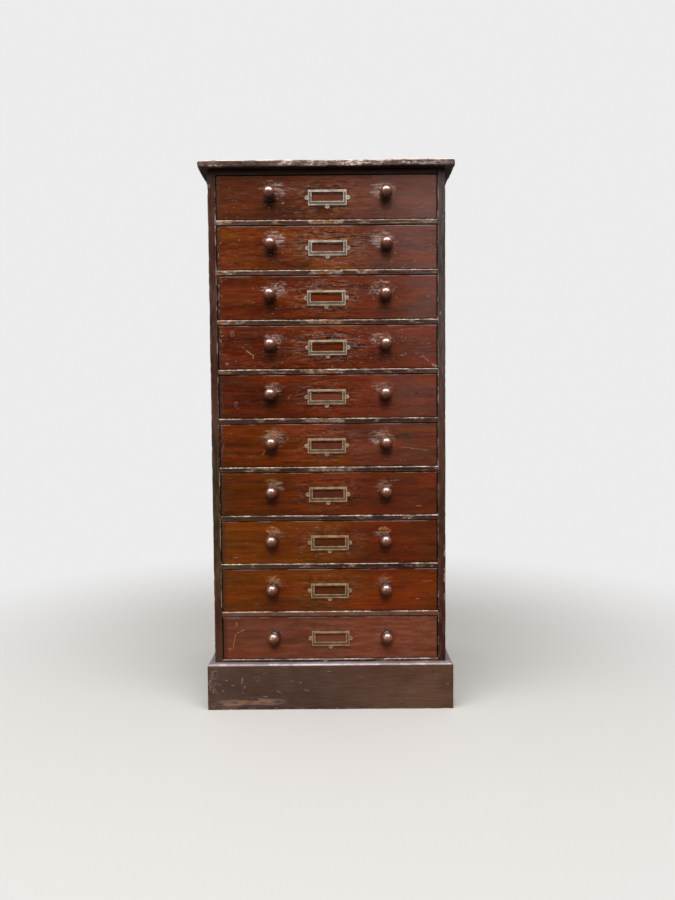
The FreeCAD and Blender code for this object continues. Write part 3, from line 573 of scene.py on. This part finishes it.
def front_finish(number, colours):
    """Polished mahogany with the tone, scratches and rubbed places of one drawer front."""
    look = FRONT_LOOKS[number - 1]
    low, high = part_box(drawer_node(number, "front"))
    middle = (low.z + high.z) / 2
    knobs_low, knobs_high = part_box(drawer_node(number, "knobs"))
    knob_z = (knobs_low.z + knobs_high.z) / 2
    knob_radius = (knobs_high.z - knobs_low.z) / 2
    label = centre(drawer_node(number, "label_holder"))
    coat = Finish(
        "mahogany_front_%02d" % number, (number * 3.7, number * 1.3, number * 2.9),
        Coat_Roughness=0.14, Specular_IOR_Level=0.25, Specular_Tint=(1, 0.5, 0.28, 1),
    )

    def round_knobs(inwards, above, across, up, hard, ragged=0.0):
        """An oval beside each knob, in millimetres from its middle."""
        return [
            coat.round_spot(x + hand * inwards * MM, knob_z + above * MM, across * MM, up * MM, hard, ragged)
            for x, hand in ((knobs_low.x + knob_radius, 1), (knobs_high.x - knob_radius, -1))
        ]

    # The wood's figure
    worked = coat.round_spot(label.x, label.z, 120 * MM, 60 * MM, 0.0)
    lively = look.mottled * (0.4 + 0.7 * worked)
    figure = coat.noise((2.6, 2.6, 32), 4, 0.34, 0.66)
    ribbon = coat.noise((8, 8, 120), 4, 0.36, 0.64)
    mottle = coat.noise((34, 34, 200), 4, 0.37, 0.63)
    fleck = coat.noise((24, 24, 130), 3, 0.40, 0.60)
    flame = coat.noise((7, 7, 72), 3, 0.48, 0.62)
    gloom = coat.noise((6, 6, 60), 3, 0.50, 0.66, shift=(5.1, 2.2, number * 1.9))
    mossy = coat.noise((10, 10, 26), 2, 0.50, 0.68, shift=(1.1, 4.4, number * 2.3))
    pores = coat.noise((110, 110, 1000), 2, 0.60, 0.72)
    cloud = coat.noise((7, 7, 14), 2, 0.38, 0.64)
    streak = coat.noise((14, 14, 60), 2, 0.60, 0.74)
    left, right, card = (
        getattr(colours, tone) * amount for tone, amount in (look.left, look.right, look.window)
    )
    side = coat.step(coat.x + (cloud - 0.5) * 0.16, -0.14, 0.14)
    wood = coat.layers(
        left,
        (side, right),
        (figure * 0.22, colours.orange * 1.4),
        (fleck * 0.3, colours.crimson * 1.1),
        (fleck * side * 0.4 * look.figured, colours.crimson * 1.9),
        (cloud * 0.3 * look.figured, colours.ember),
        (mossy * 0.4 * look.figured, colours.olive),
        (flame * 0.4 * look.figured, colours.ember * 1.3),
        (gloom * 0.6 * look.figured, colours.plum * 0.35),
    )
    grain = (figure - 0.5) * 0.6 * look.figured + (ribbon - 0.5) * 0.4 * look.figured
    wood = coat.shade(wood, 1.0 + (grain + (mottle - 0.5) * lively))
    wood = coat.mix(worked * ribbon * 0.4 * look.scratched, wood, colours.golden * 1.5)
    ragged = (coat.noise((70, 70, 170), 4) - 0.40) * 2.4
    for tone, amount, x, z, across, up in GLOWS.get(number, ()):
        spot = coat.round_spot(x * MM, middle + z * MM, across * MM, up * MM, 0.2, ragged * 0.5)
        wood = coat.mix(spot * (0.2 + 0.5 * ribbon), wood, getattr(colours, tone) * amount)
    wood = coat.shade(wood, 1 - streak * 0.4 * look.figured)

    # A painted greyish sheen towards the right, a painted reflection; a dull strip along the left end; a
    # painted highlight on the worn top arris; and painted shadow in the gaps at the edges
    painted_sheen = coat.step(coat.x, 0.0, 0.2) * (0.4 + 0.6 * cloud) * look.greyed
    strip = coat.near(coat.x, low.x, 12, 8)
    wood = coat.layers(wood, (painted_sheen * 0.6, colours.scuff_and_sheen * 0.26), (strip * 0.6, colours.stain * 0.9))
    dots = strip * coat.noise((240, 240, 100), 2, 0.60, 0.68) * (look.scratched ** 2)
    # A painted highlight along the front's worn top arris, left off the top drawer, which lies in shade
    lip_wear_and_highlight = coat.near(coat.z, high.z, -2.4, -1.2) * coat.noise((20, 20, 20), 3, 0.40, 0.60)
    lip_wear_and_highlight = lip_wear_and_highlight * (0.0 if number == 1 else 0.5)
    # Painted shadow in the gaps along the foot and the ends of the front
    ends = coat.near(coat.z, low.z, 2.4, 0).over(coat.near(abs(coat.x), high.x, -3, -1))
    wood = coat.shade(wood, 1 - ends * 0.85)

    # Scuffs from fingers round the knobs and the label holder, and a painted shadow below each knob
    streaks = coat.noise((28, 28, 380), 4, 0.50, 0.59)
    specks = coat.noise((230, 230, 340), 3, 0.52, 0.62)
    crackle = coat.noise((85, 85, 280), 4)
    around = reduce(Link.over, round_knobs(9, 13, look.spread * 1.2, look.spread * 0.8, 0.0, ragged))
    first, second = round_knobs(2, 20, 22, 15, 0.2, ragged)
    above = first.over(second * 0.6)
    # A painted shadow below each knob
    wood = coat.shade(wood, 1 - reduce(Link.over, round_knobs(0, -14, 19, 26, 0.0)) * 0.75)
    fingers = coat.round_spot(label.x, label.z + 8 * MM, 105 * MM, 52 * MM, 0.0)
    window = coat.band(coat.x, label.x - 35 * MM, label.x + 35 * MM, 1 * MM)
    window = window * coat.band(coat.z, label.z - 9 * MM, label.z + 12 * MM, 1 * MM)
    scuffed = (around ** 0.7) * (0.05 + (streaks * 0.85).over(specks * 0.75)) * look.dry
    scuffed = scuffed.over(fingers * streaks * (0.3 + 0.7 * specks) * look.scratched * 0.5)
    drawn = coat.noise((9, 9, 1300), 1, 0.66, 0.70) * streaks * 0.3
    slanted = coat.noise((60, 60, 1000), 1, 0.70, 0.735, turn=(0, 0.35, 0)) * 0.45
    chips = coat.spots((115, 115, 200), 0.26, 1 - 0.11 * look.scratched) * 0.7
    marks = scuffed.over(drawn.over(slanted).over(chips) * look.scratched).over(lip_wear_and_highlight).over(dots * 0.7)
    if number in PALE_MARKS:
        marks = marks.over(coat.strokes(middle, PALE_MARKS[number]) * (0.3 + 0.6 * specks))
    if number in SMUDGES:
        smudges = coat.strokes(middle, SMUDGES[number])
        marks = marks.over(smudges * (0.02 + 0.2 * streaks) * (0.4 + 0.6 * fleck))
    marks = marks * (1 - window)
    handled = fingers.over(around) * (look.scratched ** 0.5) * (1 - window)
    pale = coat.mix(0.45 + 0.55 * fleck, colours.scuff_and_sheen * 0.55, colours.ochre * 0.9)
    wood = coat.mix(coat.step(crackle, 0.53, 0.64) * handled * 0.6, wood, pale)
    wood = coat.shade(wood, 1 - coat.step(crackle, 0.48, 0.38) * handled * 0.6)
    wood = coat.mix(marks, wood, coat.mix(fleck, colours.scuff_and_sheen, colours.bare * 0.6))
    bare = above * (0.1 + 0.9 * coat.noise((150, 150, 330), 3, 0.42, 0.55)) * look.bare
    if number in WARM_MARKS:
        bare = bare.over(coat.strokes(middle, WARM_MARKS[number]) * (0.3 + 0.4 * specks))
    wood = coat.mix(bare * 0.9, wood, blend(colours.ochre, colours.bare, 0.12) * 1.7)
    if number in DARK_MARKS:
        wood = coat.mix(coat.strokes(middle, DARK_MARKS[number]) * 0.8, wood, colours.stain * 0.35)
    wood = coat.mix(window * 0.65, wood, card)
    shadow = coat.near(coat.z, label.z, 9.5, 11).over(coat.near(coat.x, label.x, -33, -34.4)) * window
    wood = coat.shade(coat.shade(wood, 1 - shadow * 0.8), 1 - pores * 0.45)

    dry = marks.over(bare)
    rough = 0.24 + mottle * 0.10 * look.mottled + dry * 0.3 + painted_sheen * 0.10
    height = ribbon * 0.25 + mottle * (0.2 + 0.3 * look.mottled) - dry * 0.5 - pores * 0.3
    return coat.feed(Base_Color=wood, Roughness=rough, Normal=coat.bump(height, 0.22 * MM, 0.6),
                     Coat_Weight=(1 - dry) * 0.12)


def knob_finish(colours):
    """Turned mahogany, worn to a shine at the tip, darker in the neck and at the base, with painted shade on
    the lower half of each head.
    """
    coat = Finish(
        "handled_mahogany", Coat_Roughness=0.12, Coat_IOR=2.9, Specular_IOR_Level=0.2, Roughness=0.55,
    )
    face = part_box(drawer_node(1, "front"))[0].y

    # The height above each knob's own middle, from a number of pitches that is never below 0
    turns = (coat.z - centre(drawer_node(1, "knobs")).z) / PITCH + 12.5
    up = (turns.math("FRACT", turns) - 0.5) * PITCH
    head = coat.near(coat.y, face, -8, -13)
    tip = coat.near(coat.y, face, -24, -34)
    grain = coat.noise((70, 500, 500), 3, 0.35, 0.65)
    rubbed = coat.noise((150, 150, 150), 3, 0.44, 0.62)
    worn_dark = coat.noise((240, 240, 240), 2, 0.60, 0.68)
    wood = coat.layers(
        colours.knob * 0.55,
        (grain, colours.knob * 1.3),
        (tip * (0.2 + 0.8 * rubbed) * 0.5, colours.ochre * 0.6),
        (worn_dark * 0.6, colours.stain * 0.5),
    )
    # Darker in the neck and at the base, and painted shade over the lower half of each head
    wood = coat.shade(wood, (0.25 + head * 0.75) * (1 - coat.near(up, 0, 2, -12) * 0.7))
    polished = coat.near(coat.y, face, -2.7, -3.3) * (0.12 + 0.88 * coat.near(up, 0, -2, 6))
    height = grain * 0.3 + rubbed * 0.6
    return coat.feed(Base_Color=wood, Normal=coat.bump(height, 0.05 * MM, 0.5), Coat_Weight=polished)


def pine_finish(name, colours, axis, half=None):
    """Bare pine with its grain along an axis. Beyond half the width the grain turns to run front to back."""
    coat = Finish(name)

    def grain(direction):
        rings = coat.noise(along(direction, 26, 0.9), 2)
        return rings.math("PINGPONG", rings * 15.0, 1.0), coat.noise(along(direction, 900, 22), 3, 0.3, 0.7)

    lines, fine = grain(axis)
    if half:
        turned = coat.step(abs(coat.x), half - 0.4 * MM, half, "LINEAR")
        side_lines, side_fine = grain("y")
        lines = lines + (side_lines - lines) * turned
        fine = fine + (side_fine - fine) * turned
    late = coat.step(lines, 0.55, 0.98)
    dirt = coat.noise((9, 9, 9), 4, 0.45, 0.72)
    stains = coat.spots((42, 42, 42), 0.16, 0.82)
    wood = coat.layers(
        colours.pine,
        (late * 0.5, colours.pine_dark),
        (dirt * 0.45, colours.pine_dark * 0.8),
        (stains * 0.5, colours.pine_dark * 0.45),
    )
    wood = coat.shade(wood, 0.86 + fine * 0.24)
    height = fine * 0.4 - late * 0.3
    return coat.feed(Base_Color=wood, Roughness=0.62 + fine * 0.14, Normal=coat.bump(height, 0.25 * MM, 0.5))


def brass_finish(number, colours):
    """Aged brass, with dirt in the channel between the beads of one label holder, and painted shade on its
    pin heads.
    """
    coat = Finish("aged_brass_%02d" % number, (number * 1.7, 0, 0), Metallic=0.4)
    low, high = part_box(drawer_node(number, "label_holder"))
    label = (low + high) / 2
    inside = coat.near(abs(coat.x - label.x), 0, 42.4, 41.8) * coat.near(coat.z, high.z, -33.6, -33)
    sunk = coat.near(coat.y, low.y, 0.5, 0.9) * inside
    cloud = coat.noise((60, 60, 120), 4, 0.38, 0.62)
    pits = coat.noise((420, 420, 420), 3, 0.58, 0.68)
    # Painted shade on the pin heads in the three ears
    painted_pin_shade = coat.round_spot(label.x, high.z - 36.6 * MM, 2.2 * MM, 2.2 * MM)
    aside = (abs(coat.x - label.x) - 45.6 * MM) / (2.2 * MM)
    up = (coat.z - (high.z - 17 * MM)) / (2.2 * MM)
    painted_pin_shade = painted_pin_shade.over(coat.step(aside ** 2 + up ** 2, 1.0, 0.35))
    alloy = blend(colours.brass, colours.bronze, min(1.0, number * 0.16 - 0.16))
    metal = coat.shade(alloy, 0.75 + cloud * 0.5)
    metal = coat.mix((sunk * 0.7).over(pits * 0.6).over(painted_pin_shade * 0.6), metal, colours.tarnish)
    rough = 0.40 + cloud * 0.14 + sunk * 0.2
    height = cloud * 0.4 - pits * 0.6
    return coat.feed(Base_Color=metal, Roughness=rough, Normal=coat.bump(height, 0.12 * MM, 0.6))


def steel_finish(colours):
    coat = Finish("old_steel", Metallic=0.7)
    rust = coat.noise((500, 500, 500), 3, 0.42, 0.62)
    metal = coat.mix(rust * 0.8, colours.steel, colours.ochre * 0.35)
    return coat.feed(Base_Color=metal, Roughness=0.5 + rust * 0.3)


# Shaping

def welded(node):
    """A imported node's mesh, with its loose triangles joined into whole faces."""
    mesh = bmesh.new()
    mesh.from_mesh(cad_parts[node].data)
    bmesh.ops.remove_doubles(mesh, verts=mesh.verts, dist=WELD)
    flat = math.radians(FLAT_WITHIN)
    bmesh.ops.dissolve_limit(mesh, angle_limit=flat, verts=mesh.verts, edges=mesh.edges)
    return mesh


def slice_across(mesh, axis, places):
    """Cuts the mesh's faces at places along an axis, so that they can wear unevenly."""
    normal = Vector((0, 0, 0))
    normal[axis] = 1
    for place in places:
        parts = mesh.verts[:] + mesh.edges[:] + mesh.faces[:]
        bmesh.ops.bisect_plane(mesh, geom=parts, dist=WELD, plane_co=normal * place, plane_no=normal)


def steps(start, end, step):
    count = max(1, round((end - start) / step))
    return [start + (end - start) * n / count for n in range(1, count)]


def bite(place, seed, wave):
    """How far an arris is worn at a place along it, from 0 to 1: slow waves and a few sharp bites."""
    slow = noise.noise(Vector((place / wave, seed, 0.5)))
    quick = noise.noise(Vector((place / (wave * 0.2), seed, 5.5)))
    sharp = max(0.0, quick - BITE_START) * BITE_STEEP
    return min(1.0, max(BITE_LEAST, BITE_USUAL + slow * 0.5 + quick * 0.12 + sharp))


def wear_arris(mesh, axis, corner, inwards, reach, depth, seed, wave):
    """Wears an arris that runs along an axis. Corner and inwards give its place and the way into the wood."""
    others = [place for place in range(3) if place != axis]
    push = Vector((0, 0, 0))
    for place, amount in zip(others, inwards):
        push[place] = amount
    push.normalize()
    for vertex in mesh.verts:
        out = [vertex.co[place] - at for place, at in zip(others, corner)]
        away = math.hypot(*out)
        if away < reach:
            vertex.co += push * depth * (1 - away / reach) * bite(vertex.co[axis], seed, wave)


def placed(name, data):
    """A new object in the scene."""
    thing = bpy.data.objects.new(name, data)
    bpy.context.scene.collection.objects.link(thing)
    return thing


def show(name, mesh, material, body, slot, *nodes):
    """Makes a finished piece of a mesh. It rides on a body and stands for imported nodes."""
    bmesh.ops.triangulate(mesh, faces=[face for face in mesh.faces if len(face.verts) > 4])
    data = bpy.data.meshes.new(name)
    mesh.to_mesh(data)
    mesh.free()
    data.polygons.foreach_set("use_smooth", [True] * len(data.polygons))
    data.set_sharp_from_angle(angle=math.radians(SHADED_FLAT))
    data.materials.append(material)
    piece = placed(name, data)
    even = piece.modifiers.new("even_shading", "WEIGHTED_NORMAL")
    even.keep_sharp = True
    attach(piece, body)
    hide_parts(*nodes)


def eased(node, material, width):
    """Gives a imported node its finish, and rounds its arrises a little."""
    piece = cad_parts[node]
    piece.data.materials[0] = material
    weld = piece.modifiers.new("joined_faces", "WELD")
    weld.merge_threshold = WELD
    bevel = piece.modifiers.new("eased_arrises", "BEVEL")
    bevel.width, bevel.segments = width, 2
    bevel.limit_method, bevel.angle_limit = "ANGLE", math.radians(EASED_FROM)
    bevel.harden_normals = True


class CHEST_OT_case(bpy.types.Operator):
    """Wears the case's outer boards and stains them"""
    bl_idname = "chest.case"
    bl_label = "Case boards"

    def execute(self, context):
        colours, wear = looks_of(context.scene)
        for finish in (self.sides, self.top, self.rails, self.plinth):
            finish(colours, wear)
        return {"FINISHED"}

    def sides(self, colours, wear):
        material = stained_finish("stained_side", colours, "z", stile_wear)
        for name, hand in (("left", -1), ("right", 1)):
            mesh = welded("side_" + name)
            slice_across(mesh, 1, [CASE_FRONT + cut for cut in SIDE_CUTS])
            slice_across(mesh, 0, (hand * (OPENING_HALF + SIDE_CUTS[0]), hand * (CASE_HALF - SIDE_CUTS[0])))
            slice_across(mesh, 2, steps(PLINTH_HIGH.z, SIDE_HIGH.z, wear.slice_step))
            for seed, across, inwards in ((3.1, OPENING_HALF, hand), (7.7, CASE_HALF, -hand)):
                corner, depth = (hand * across, CASE_FRONT), wear.stile_depth
                wear_arris(mesh, 2, corner, (inwards, 1), SIDE_REACH, depth, seed * hand, wear.wave)
            show("worn_side_" + name, mesh, material, "case", "case_wood", "side_" + name)

    def top(self, colours, wear):
        stain = colours.dusty * 0.62
        material = stained_finish("stained_top", colours, "x", top_wear, stain=stain, warmth=0.3)
        mesh = welded("top_board")
        front, half = TOP_LOW.y, TOP_HIGH.x
        slice_across(mesh, 2, (TOP_LOW.z + TOP_LEVEL_CUT, TOP_HIGH.z - TOP_LEVEL_CUT))
        slice_across(mesh, 1, [front + cut for cut in TOP_CUTS])
        slice_across(mesh, 0, [hand * (half - TOP_CUTS[0]) for hand in (-1, 1)])
        slice_across(mesh, 0, steps(-half, half, wear.slice_step))
        slice_across(mesh, 1, steps(front, TOP_HIGH.y, wear.slice_step * TOP_COARSER))
        for seed, level, down in ((1.3, TOP_HIGH.z, -1), (4.9, TOP_LOW.z, 1)):
            wear_arris(mesh, 0, (front, level), (1, down), TOP_REACH, wear.top_depth, seed, wear.wave)
            for hand in (-1, 1):
                corner, depth = (hand * half, level), wear.top_depth * TOP_ENDS
                wear_arris(mesh, 1, corner, (-hand, down), TOP_REACH, depth, seed + hand, wear.wave)
        show("worn_top", mesh, material, "case", "case_wood", "top_board")

    def rails(self, colours, wear):
        material = stained_finish("stained_rail", colours, "x", rail_wear, stain=colours.stain * 0.72)
        for name, node, count in (
            ("worn_rails", "drawer_rails", len(DRAWERS) - 1),
            ("worn_top_rail", "top_rail_front", 1),
            ("worn_bottom_edge", "bottom_board", 1),
        ):
            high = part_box(node)[1].z
            mesh = welded(node)
            slice_across(mesh, 1, (CASE_FRONT + RAIL_CUT,))
            slice_across(mesh, 2, [high - n * PITCH - RAIL_CUT for n in range(count)])
            slice_across(mesh, 0, steps(-OPENING_HALF, OPENING_HALF, wear.slice_step))
            for n in range(count):
                corner = (CASE_FRONT, high - n * PITCH)
                wear_arris(mesh, 0, corner, (1, -1), RAIL_REACH, wear.rail_depth, n + high, wear.wave)
            show(name, mesh, material, "case", "case_wood", node)

    def plinth(self, colours, wear):
        for name, axis in (("front", 0), ("left", 1), ("right", 1)):
            node = "plinth_" + name
            low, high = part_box(node)
            material = stained_finish(
                "stained_" + node, colours, "xy"[axis], plinth_wear,
                stain=colours.dusty, warmth=0.3, scratched=0.3, lively=0.2,
            )
            mesh = welded(node)
            across = 1 - axis
            outer, inwards = (low[across], 1) if name != "right" else (high[across], -1)
            slice_across(mesh, across, (outer + inwards * PLINTH_CUT,))
            slice_across(mesh, 2, steps(low.z, high.z, wear.slice_step * PLINTH_COARSER))
            slice_across(mesh, axis, steps(low[axis], high[axis], wear.slice_step))
            reach, depth = PLINTH_REACH, wear.plinth_depth
            for seed, level, down in ((2.2, high.z, -1), (6.1, low.z, 1)):
                wear_arris(mesh, axis, (outer, level), (inwards, down), reach, depth, seed, wear.wave)
            for vertex in mesh.verts:
                if abs(vertex.co[across] - outer) < DENT_SKIN:
                    knock = noise.noise(vertex.co / DENT_WAVE) + 0.5 * noise.noise(vertex.co / DENT_RIPPLE)
                    vertex.co[across] += inwards * wear.dent_depth * max(0.0, knock)
            if name == "front":
                for hand in (-1, 1):
                    corner = (hand * high.x, low.y)
                    wear_arris(mesh, 2, corner, (-hand, 1), reach, depth, 8.4 + hand, wear.wave)
            show("worn_" + node, mesh, material, "case", "case_wood", node)


class CHEST_OT_fronts(bpy.types.Operator):
    """Polishes the drawer fronts and wears their arrises"""
    bl_idname = "chest.fronts"
    bl_label = "Drawer fronts"

    def execute(self, context):
        colours, wear = looks_of(context.scene)
        for number in DRAWERS:
            node = drawer_node(number, "front")
            low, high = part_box(node)
            mesh = welded(node)
            slice_across(mesh, 1, (low.y + FRONT_CUT,))
            slice_across(mesh, 2, (low.z + FRONT_CUT, high.z - FRONT_CUT))
            slice_across(mesh, 0, (low.x + FRONT_CUT, high.x - FRONT_CUT))
            slice_across(mesh, 0, steps(low.x, high.x, wear.slice_step))
            for level, down in ((high.z, -1), (low.z, 1)):
                corner, seed = (low.y, level), number * 1.7 + down
                wear_arris(mesh, 0, corner, (1, down), FRONT_REACH, wear.front_depth, seed, wear.wave)
            material = front_finish(number, colours)
            show("front_%02d" % number, mesh, material, "drawer_%02d" % number, "front_wood", node)
        return {"FINISHED"}


class CHEST_OT_inner(bpy.types.Operator):
    """Finishes the pine inside the chest and the drawers, and the nails and screws"""
    bl_idname = "chest.inner"
    bl_label = "Inner boards"

    def execute(self, context):
        colours, wear = looks_of(context.scene)
        for name, axis, nodes in (
            ("pine_upright", "z", ("back_boards", "glue_blocks")),
            ("pine_across", "x", ("plinth_back", "top_rail_back", "drawer_stops")),
            ("pine_lengthwise", "y", ("runners_left", "runners_right", "kickers")),
        ):
            material = pine_finish(name, colours, axis)
            for node in nodes:
                eased(node, material, wear.easing)
        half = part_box(drawer_node(1, "box"))[1].x - BOX_SIDE
        drawer = pine_finish("pine_drawer", colours, "x", half)
        steel = steel_finish(colours)
        for number in DRAWERS:
            eased(drawer_node(number, "box"), drawer, wear.easing)
        for node in ("back_nails", "top_screws"):
            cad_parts[node].data.materials[0] = steel
        return {"FINISHED"}


class CHEST_OT_knobs(bpy.types.Operator):
    """Polishes the turned knobs"""
    bl_idname = "chest.knobs"
    bl_label = "Knobs"

    def execute(self, context):
        material = knob_finish(context.scene.chest_colours)
        for number in DRAWERS:
            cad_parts[drawer_node(number, "knobs")].data.materials[0] = material
        return {"FINISHED"}


class CHEST_OT_label_holders(bpy.types.Operator):
    """Rounds and tarnishes the brass label holders"""
    bl_idname = "chest.label_holders"
    bl_label = "Label holders"

    def execute(self, context):
        colours, wear = looks_of(context.scene)
        for number in DRAWERS:
            eased(drawer_node(number, "label_holder"), brass_finish(number, colours), wear.cast_edge)
        return {"FINISHED"}


def backdrop_rays(shading, mirrored):
    """How much of the backdrop a ray sees: all of it for the camera and through glass, a share in polish."""
    rays = shading.node("ShaderNodeLightPath").socket.node.outputs
    seen, glossy, through = (
        Link(shading, rays["Is %s Ray" % kind]) for kind in ("Camera", "Glossy", "Transmission")
    )
    settings = {"operation": "MULTIPLY_ADD", "use_clamp": True}
    polish = shading.node("ShaderNodeMath", settings, {0: glossy, 1: mirrored, 2: seen})
    return through.over(polish)


class CHEST_OT_stage(bpy.types.Operator):
    """Sets the plain floor, the soft lights and the camera"""
    bl_idname = "chest.stage"
    bl_label = "Stage"

    def execute(self, context):
        light, camera = context.scene.chest_light, context.scene.chest_camera
        context.scene.view_settings.view_transform = "Standard"
        self.floor(light)
        self.world(context, light)
        self.lamps(light)
        self.camera(context, camera)
        return {"FINISHED"}

    def floor(self, light):
        mesh = bmesh.new()
        bmesh.ops.create_circle(mesh, cap_ends=True, segments=96, radius=FLOOR_RADIUS)
        data = bpy.data.meshes.new("floor")
        mesh.to_mesh(data)
        mesh.free()
        floor = placed("floor", data)
        pale = Finish("pale_floor", Roughness=0.7, Specular_IOR_Level=0.0)
        far = pale.node("ShaderNodeVectorMath", {"operation": "LENGTH"}, {0: pale.place}, output=1)
        glow = pale.node("ShaderNodeEmission", inputs={0: (1, 1, 1, 1), 1: light.backdrop})
        rays = backdrop_rays(pale, light.mirrored)
        pale.feed(Base_Color=pale.mix(rays, FLOOR_LIT, FLOOR_SEEN))
        own = Link(pale, pale.shader.outputs[0])
        seen = pale.step(far, *FLOOR_FADE) * rays
        shown = pale.node("ShaderNodeMixShader", inputs={0: seen, 1: own, 2: glow})
        pale.tree.links.new(shown.socket, pale.tree.nodes["Material Output"].inputs[0])
        data.materials.append(pale.material)

    def world(self, context, light):
        """A pale background for the camera. Its light on the chest comes mostly from above."""
        world = bpy.data.worlds.new("soft_room")
        world.use_nodes = True
        context.scene.world = world
        room = Tree(world.node_tree)
        direction = room.node("ShaderNodeTexCoord", output="Generated")
        up = room.node("ShaderNodeSeparateXYZ", inputs={0: direction}, output="Z")
        levels = {"Value": up, "To Min": light.horizon, "To Max": light.zenith}
        rise = room.node("ShaderNodeMapRange", {"interpolation_type": "SMOOTHSTEP"}, levels)
        rays = backdrop_rays(room, light.mirrored)
        seen = room.node("ShaderNodeMix", inputs={"Factor": rays, "A": rise, "B": light.backdrop})
        background = room.tree.nodes["Background"].inputs
        background["Color"].default_value = (1, 1, 1, 1)
        room.tree.links.new(seen.socket, background["Strength"])

    def lamps(self, light):
        aim = Vector((0, CASE_FRONT, SIDE_HIGH.z * LAMP_AIM))
        for name, (place, size) in LAMP_PLACES.items():
            data = bpy.data.lights.new(name, "AREA")
            data.shape, data.energy = "RECTANGLE", getattr(light, name)
            data.size, data.size_y = size
            lamp = placed(name, data)
            lamp.location = place
            lamp.rotation_euler = (aim - lamp.location).to_track_quat("-Z", "Y").to_euler()

    def camera(self, context, camera):
        data = bpy.data.cameras.new("camera")
        data.sensor_width, data.lens = SENSOR, camera.focal
        eye = placed("camera", data)
        level = Matrix.Rotation(math.pi / 2 - camera.pitch, 3, "X")
        turned = Matrix.Rotation(-camera.yaw, 3, "Z") @ level @ Matrix.Rotation(camera.roll, 3, "Z")
        eye.rotation_euler = turned.to_euler()
        eye.location = (camera.across, CASE_FRONT - camera.distance, camera.height)
        context.scene.camera = eye


STEPS = (
    CHEST_OT_case, CHEST_OT_fronts, CHEST_OT_inner, CHEST_OT_knobs, CHEST_OT_label_holders, CHEST_OT_stage,
)
GROUPS = {
    "chest_wear": ChestWear, "chest_colours": ChestColours,
    "chest_light": ChestLight, "chest_camera": ChestCamera,
}


class CHEST_PT_panel(bpy.types.Panel):
    """Lists the settings and steps of the chest"""
    bl_idname = "CHEST_PT_panel"
    bl_label = "Specimen chest"
    bl_space_type = "VIEW_3D"
    bl_region_type = "UI"
    bl_category = "Chest"

    def draw(self, context):
        for step in STEPS:
            self.layout.operator(step.bl_idname)
        for group in GROUPS:
            box = self.layout.box()
            settings = getattr(context.scene, group)
            for name in settings.__annotations__:
                box.prop(settings, name)


def register():
    for group in GROUPS.values():
        bpy.utils.register_class(group)
    for step in (*STEPS, CHEST_PT_panel):
        bpy.utils.register_class(step)
    for name, group in GROUPS.items():
        setattr(bpy.types.Scene, name, bpy.props.PointerProperty(type=group))


def unregister():
    for name in GROUPS:
        delattr(bpy.types.Scene, name)
    for step in (CHEST_PT_panel, *reversed(STEPS), *GROUPS.values()):
        bpy.utils.unregister_class(step)


def main():
    register()
    bpy.ops.chest.case()
    bpy.ops.chest.fronts()
    bpy.ops.chest.inner()
    bpy.ops.chest.knobs()
    bpy.ops.chest.label_holders()
    bpy.ops.chest.stage()


if __name__ == "__main__":
    main()
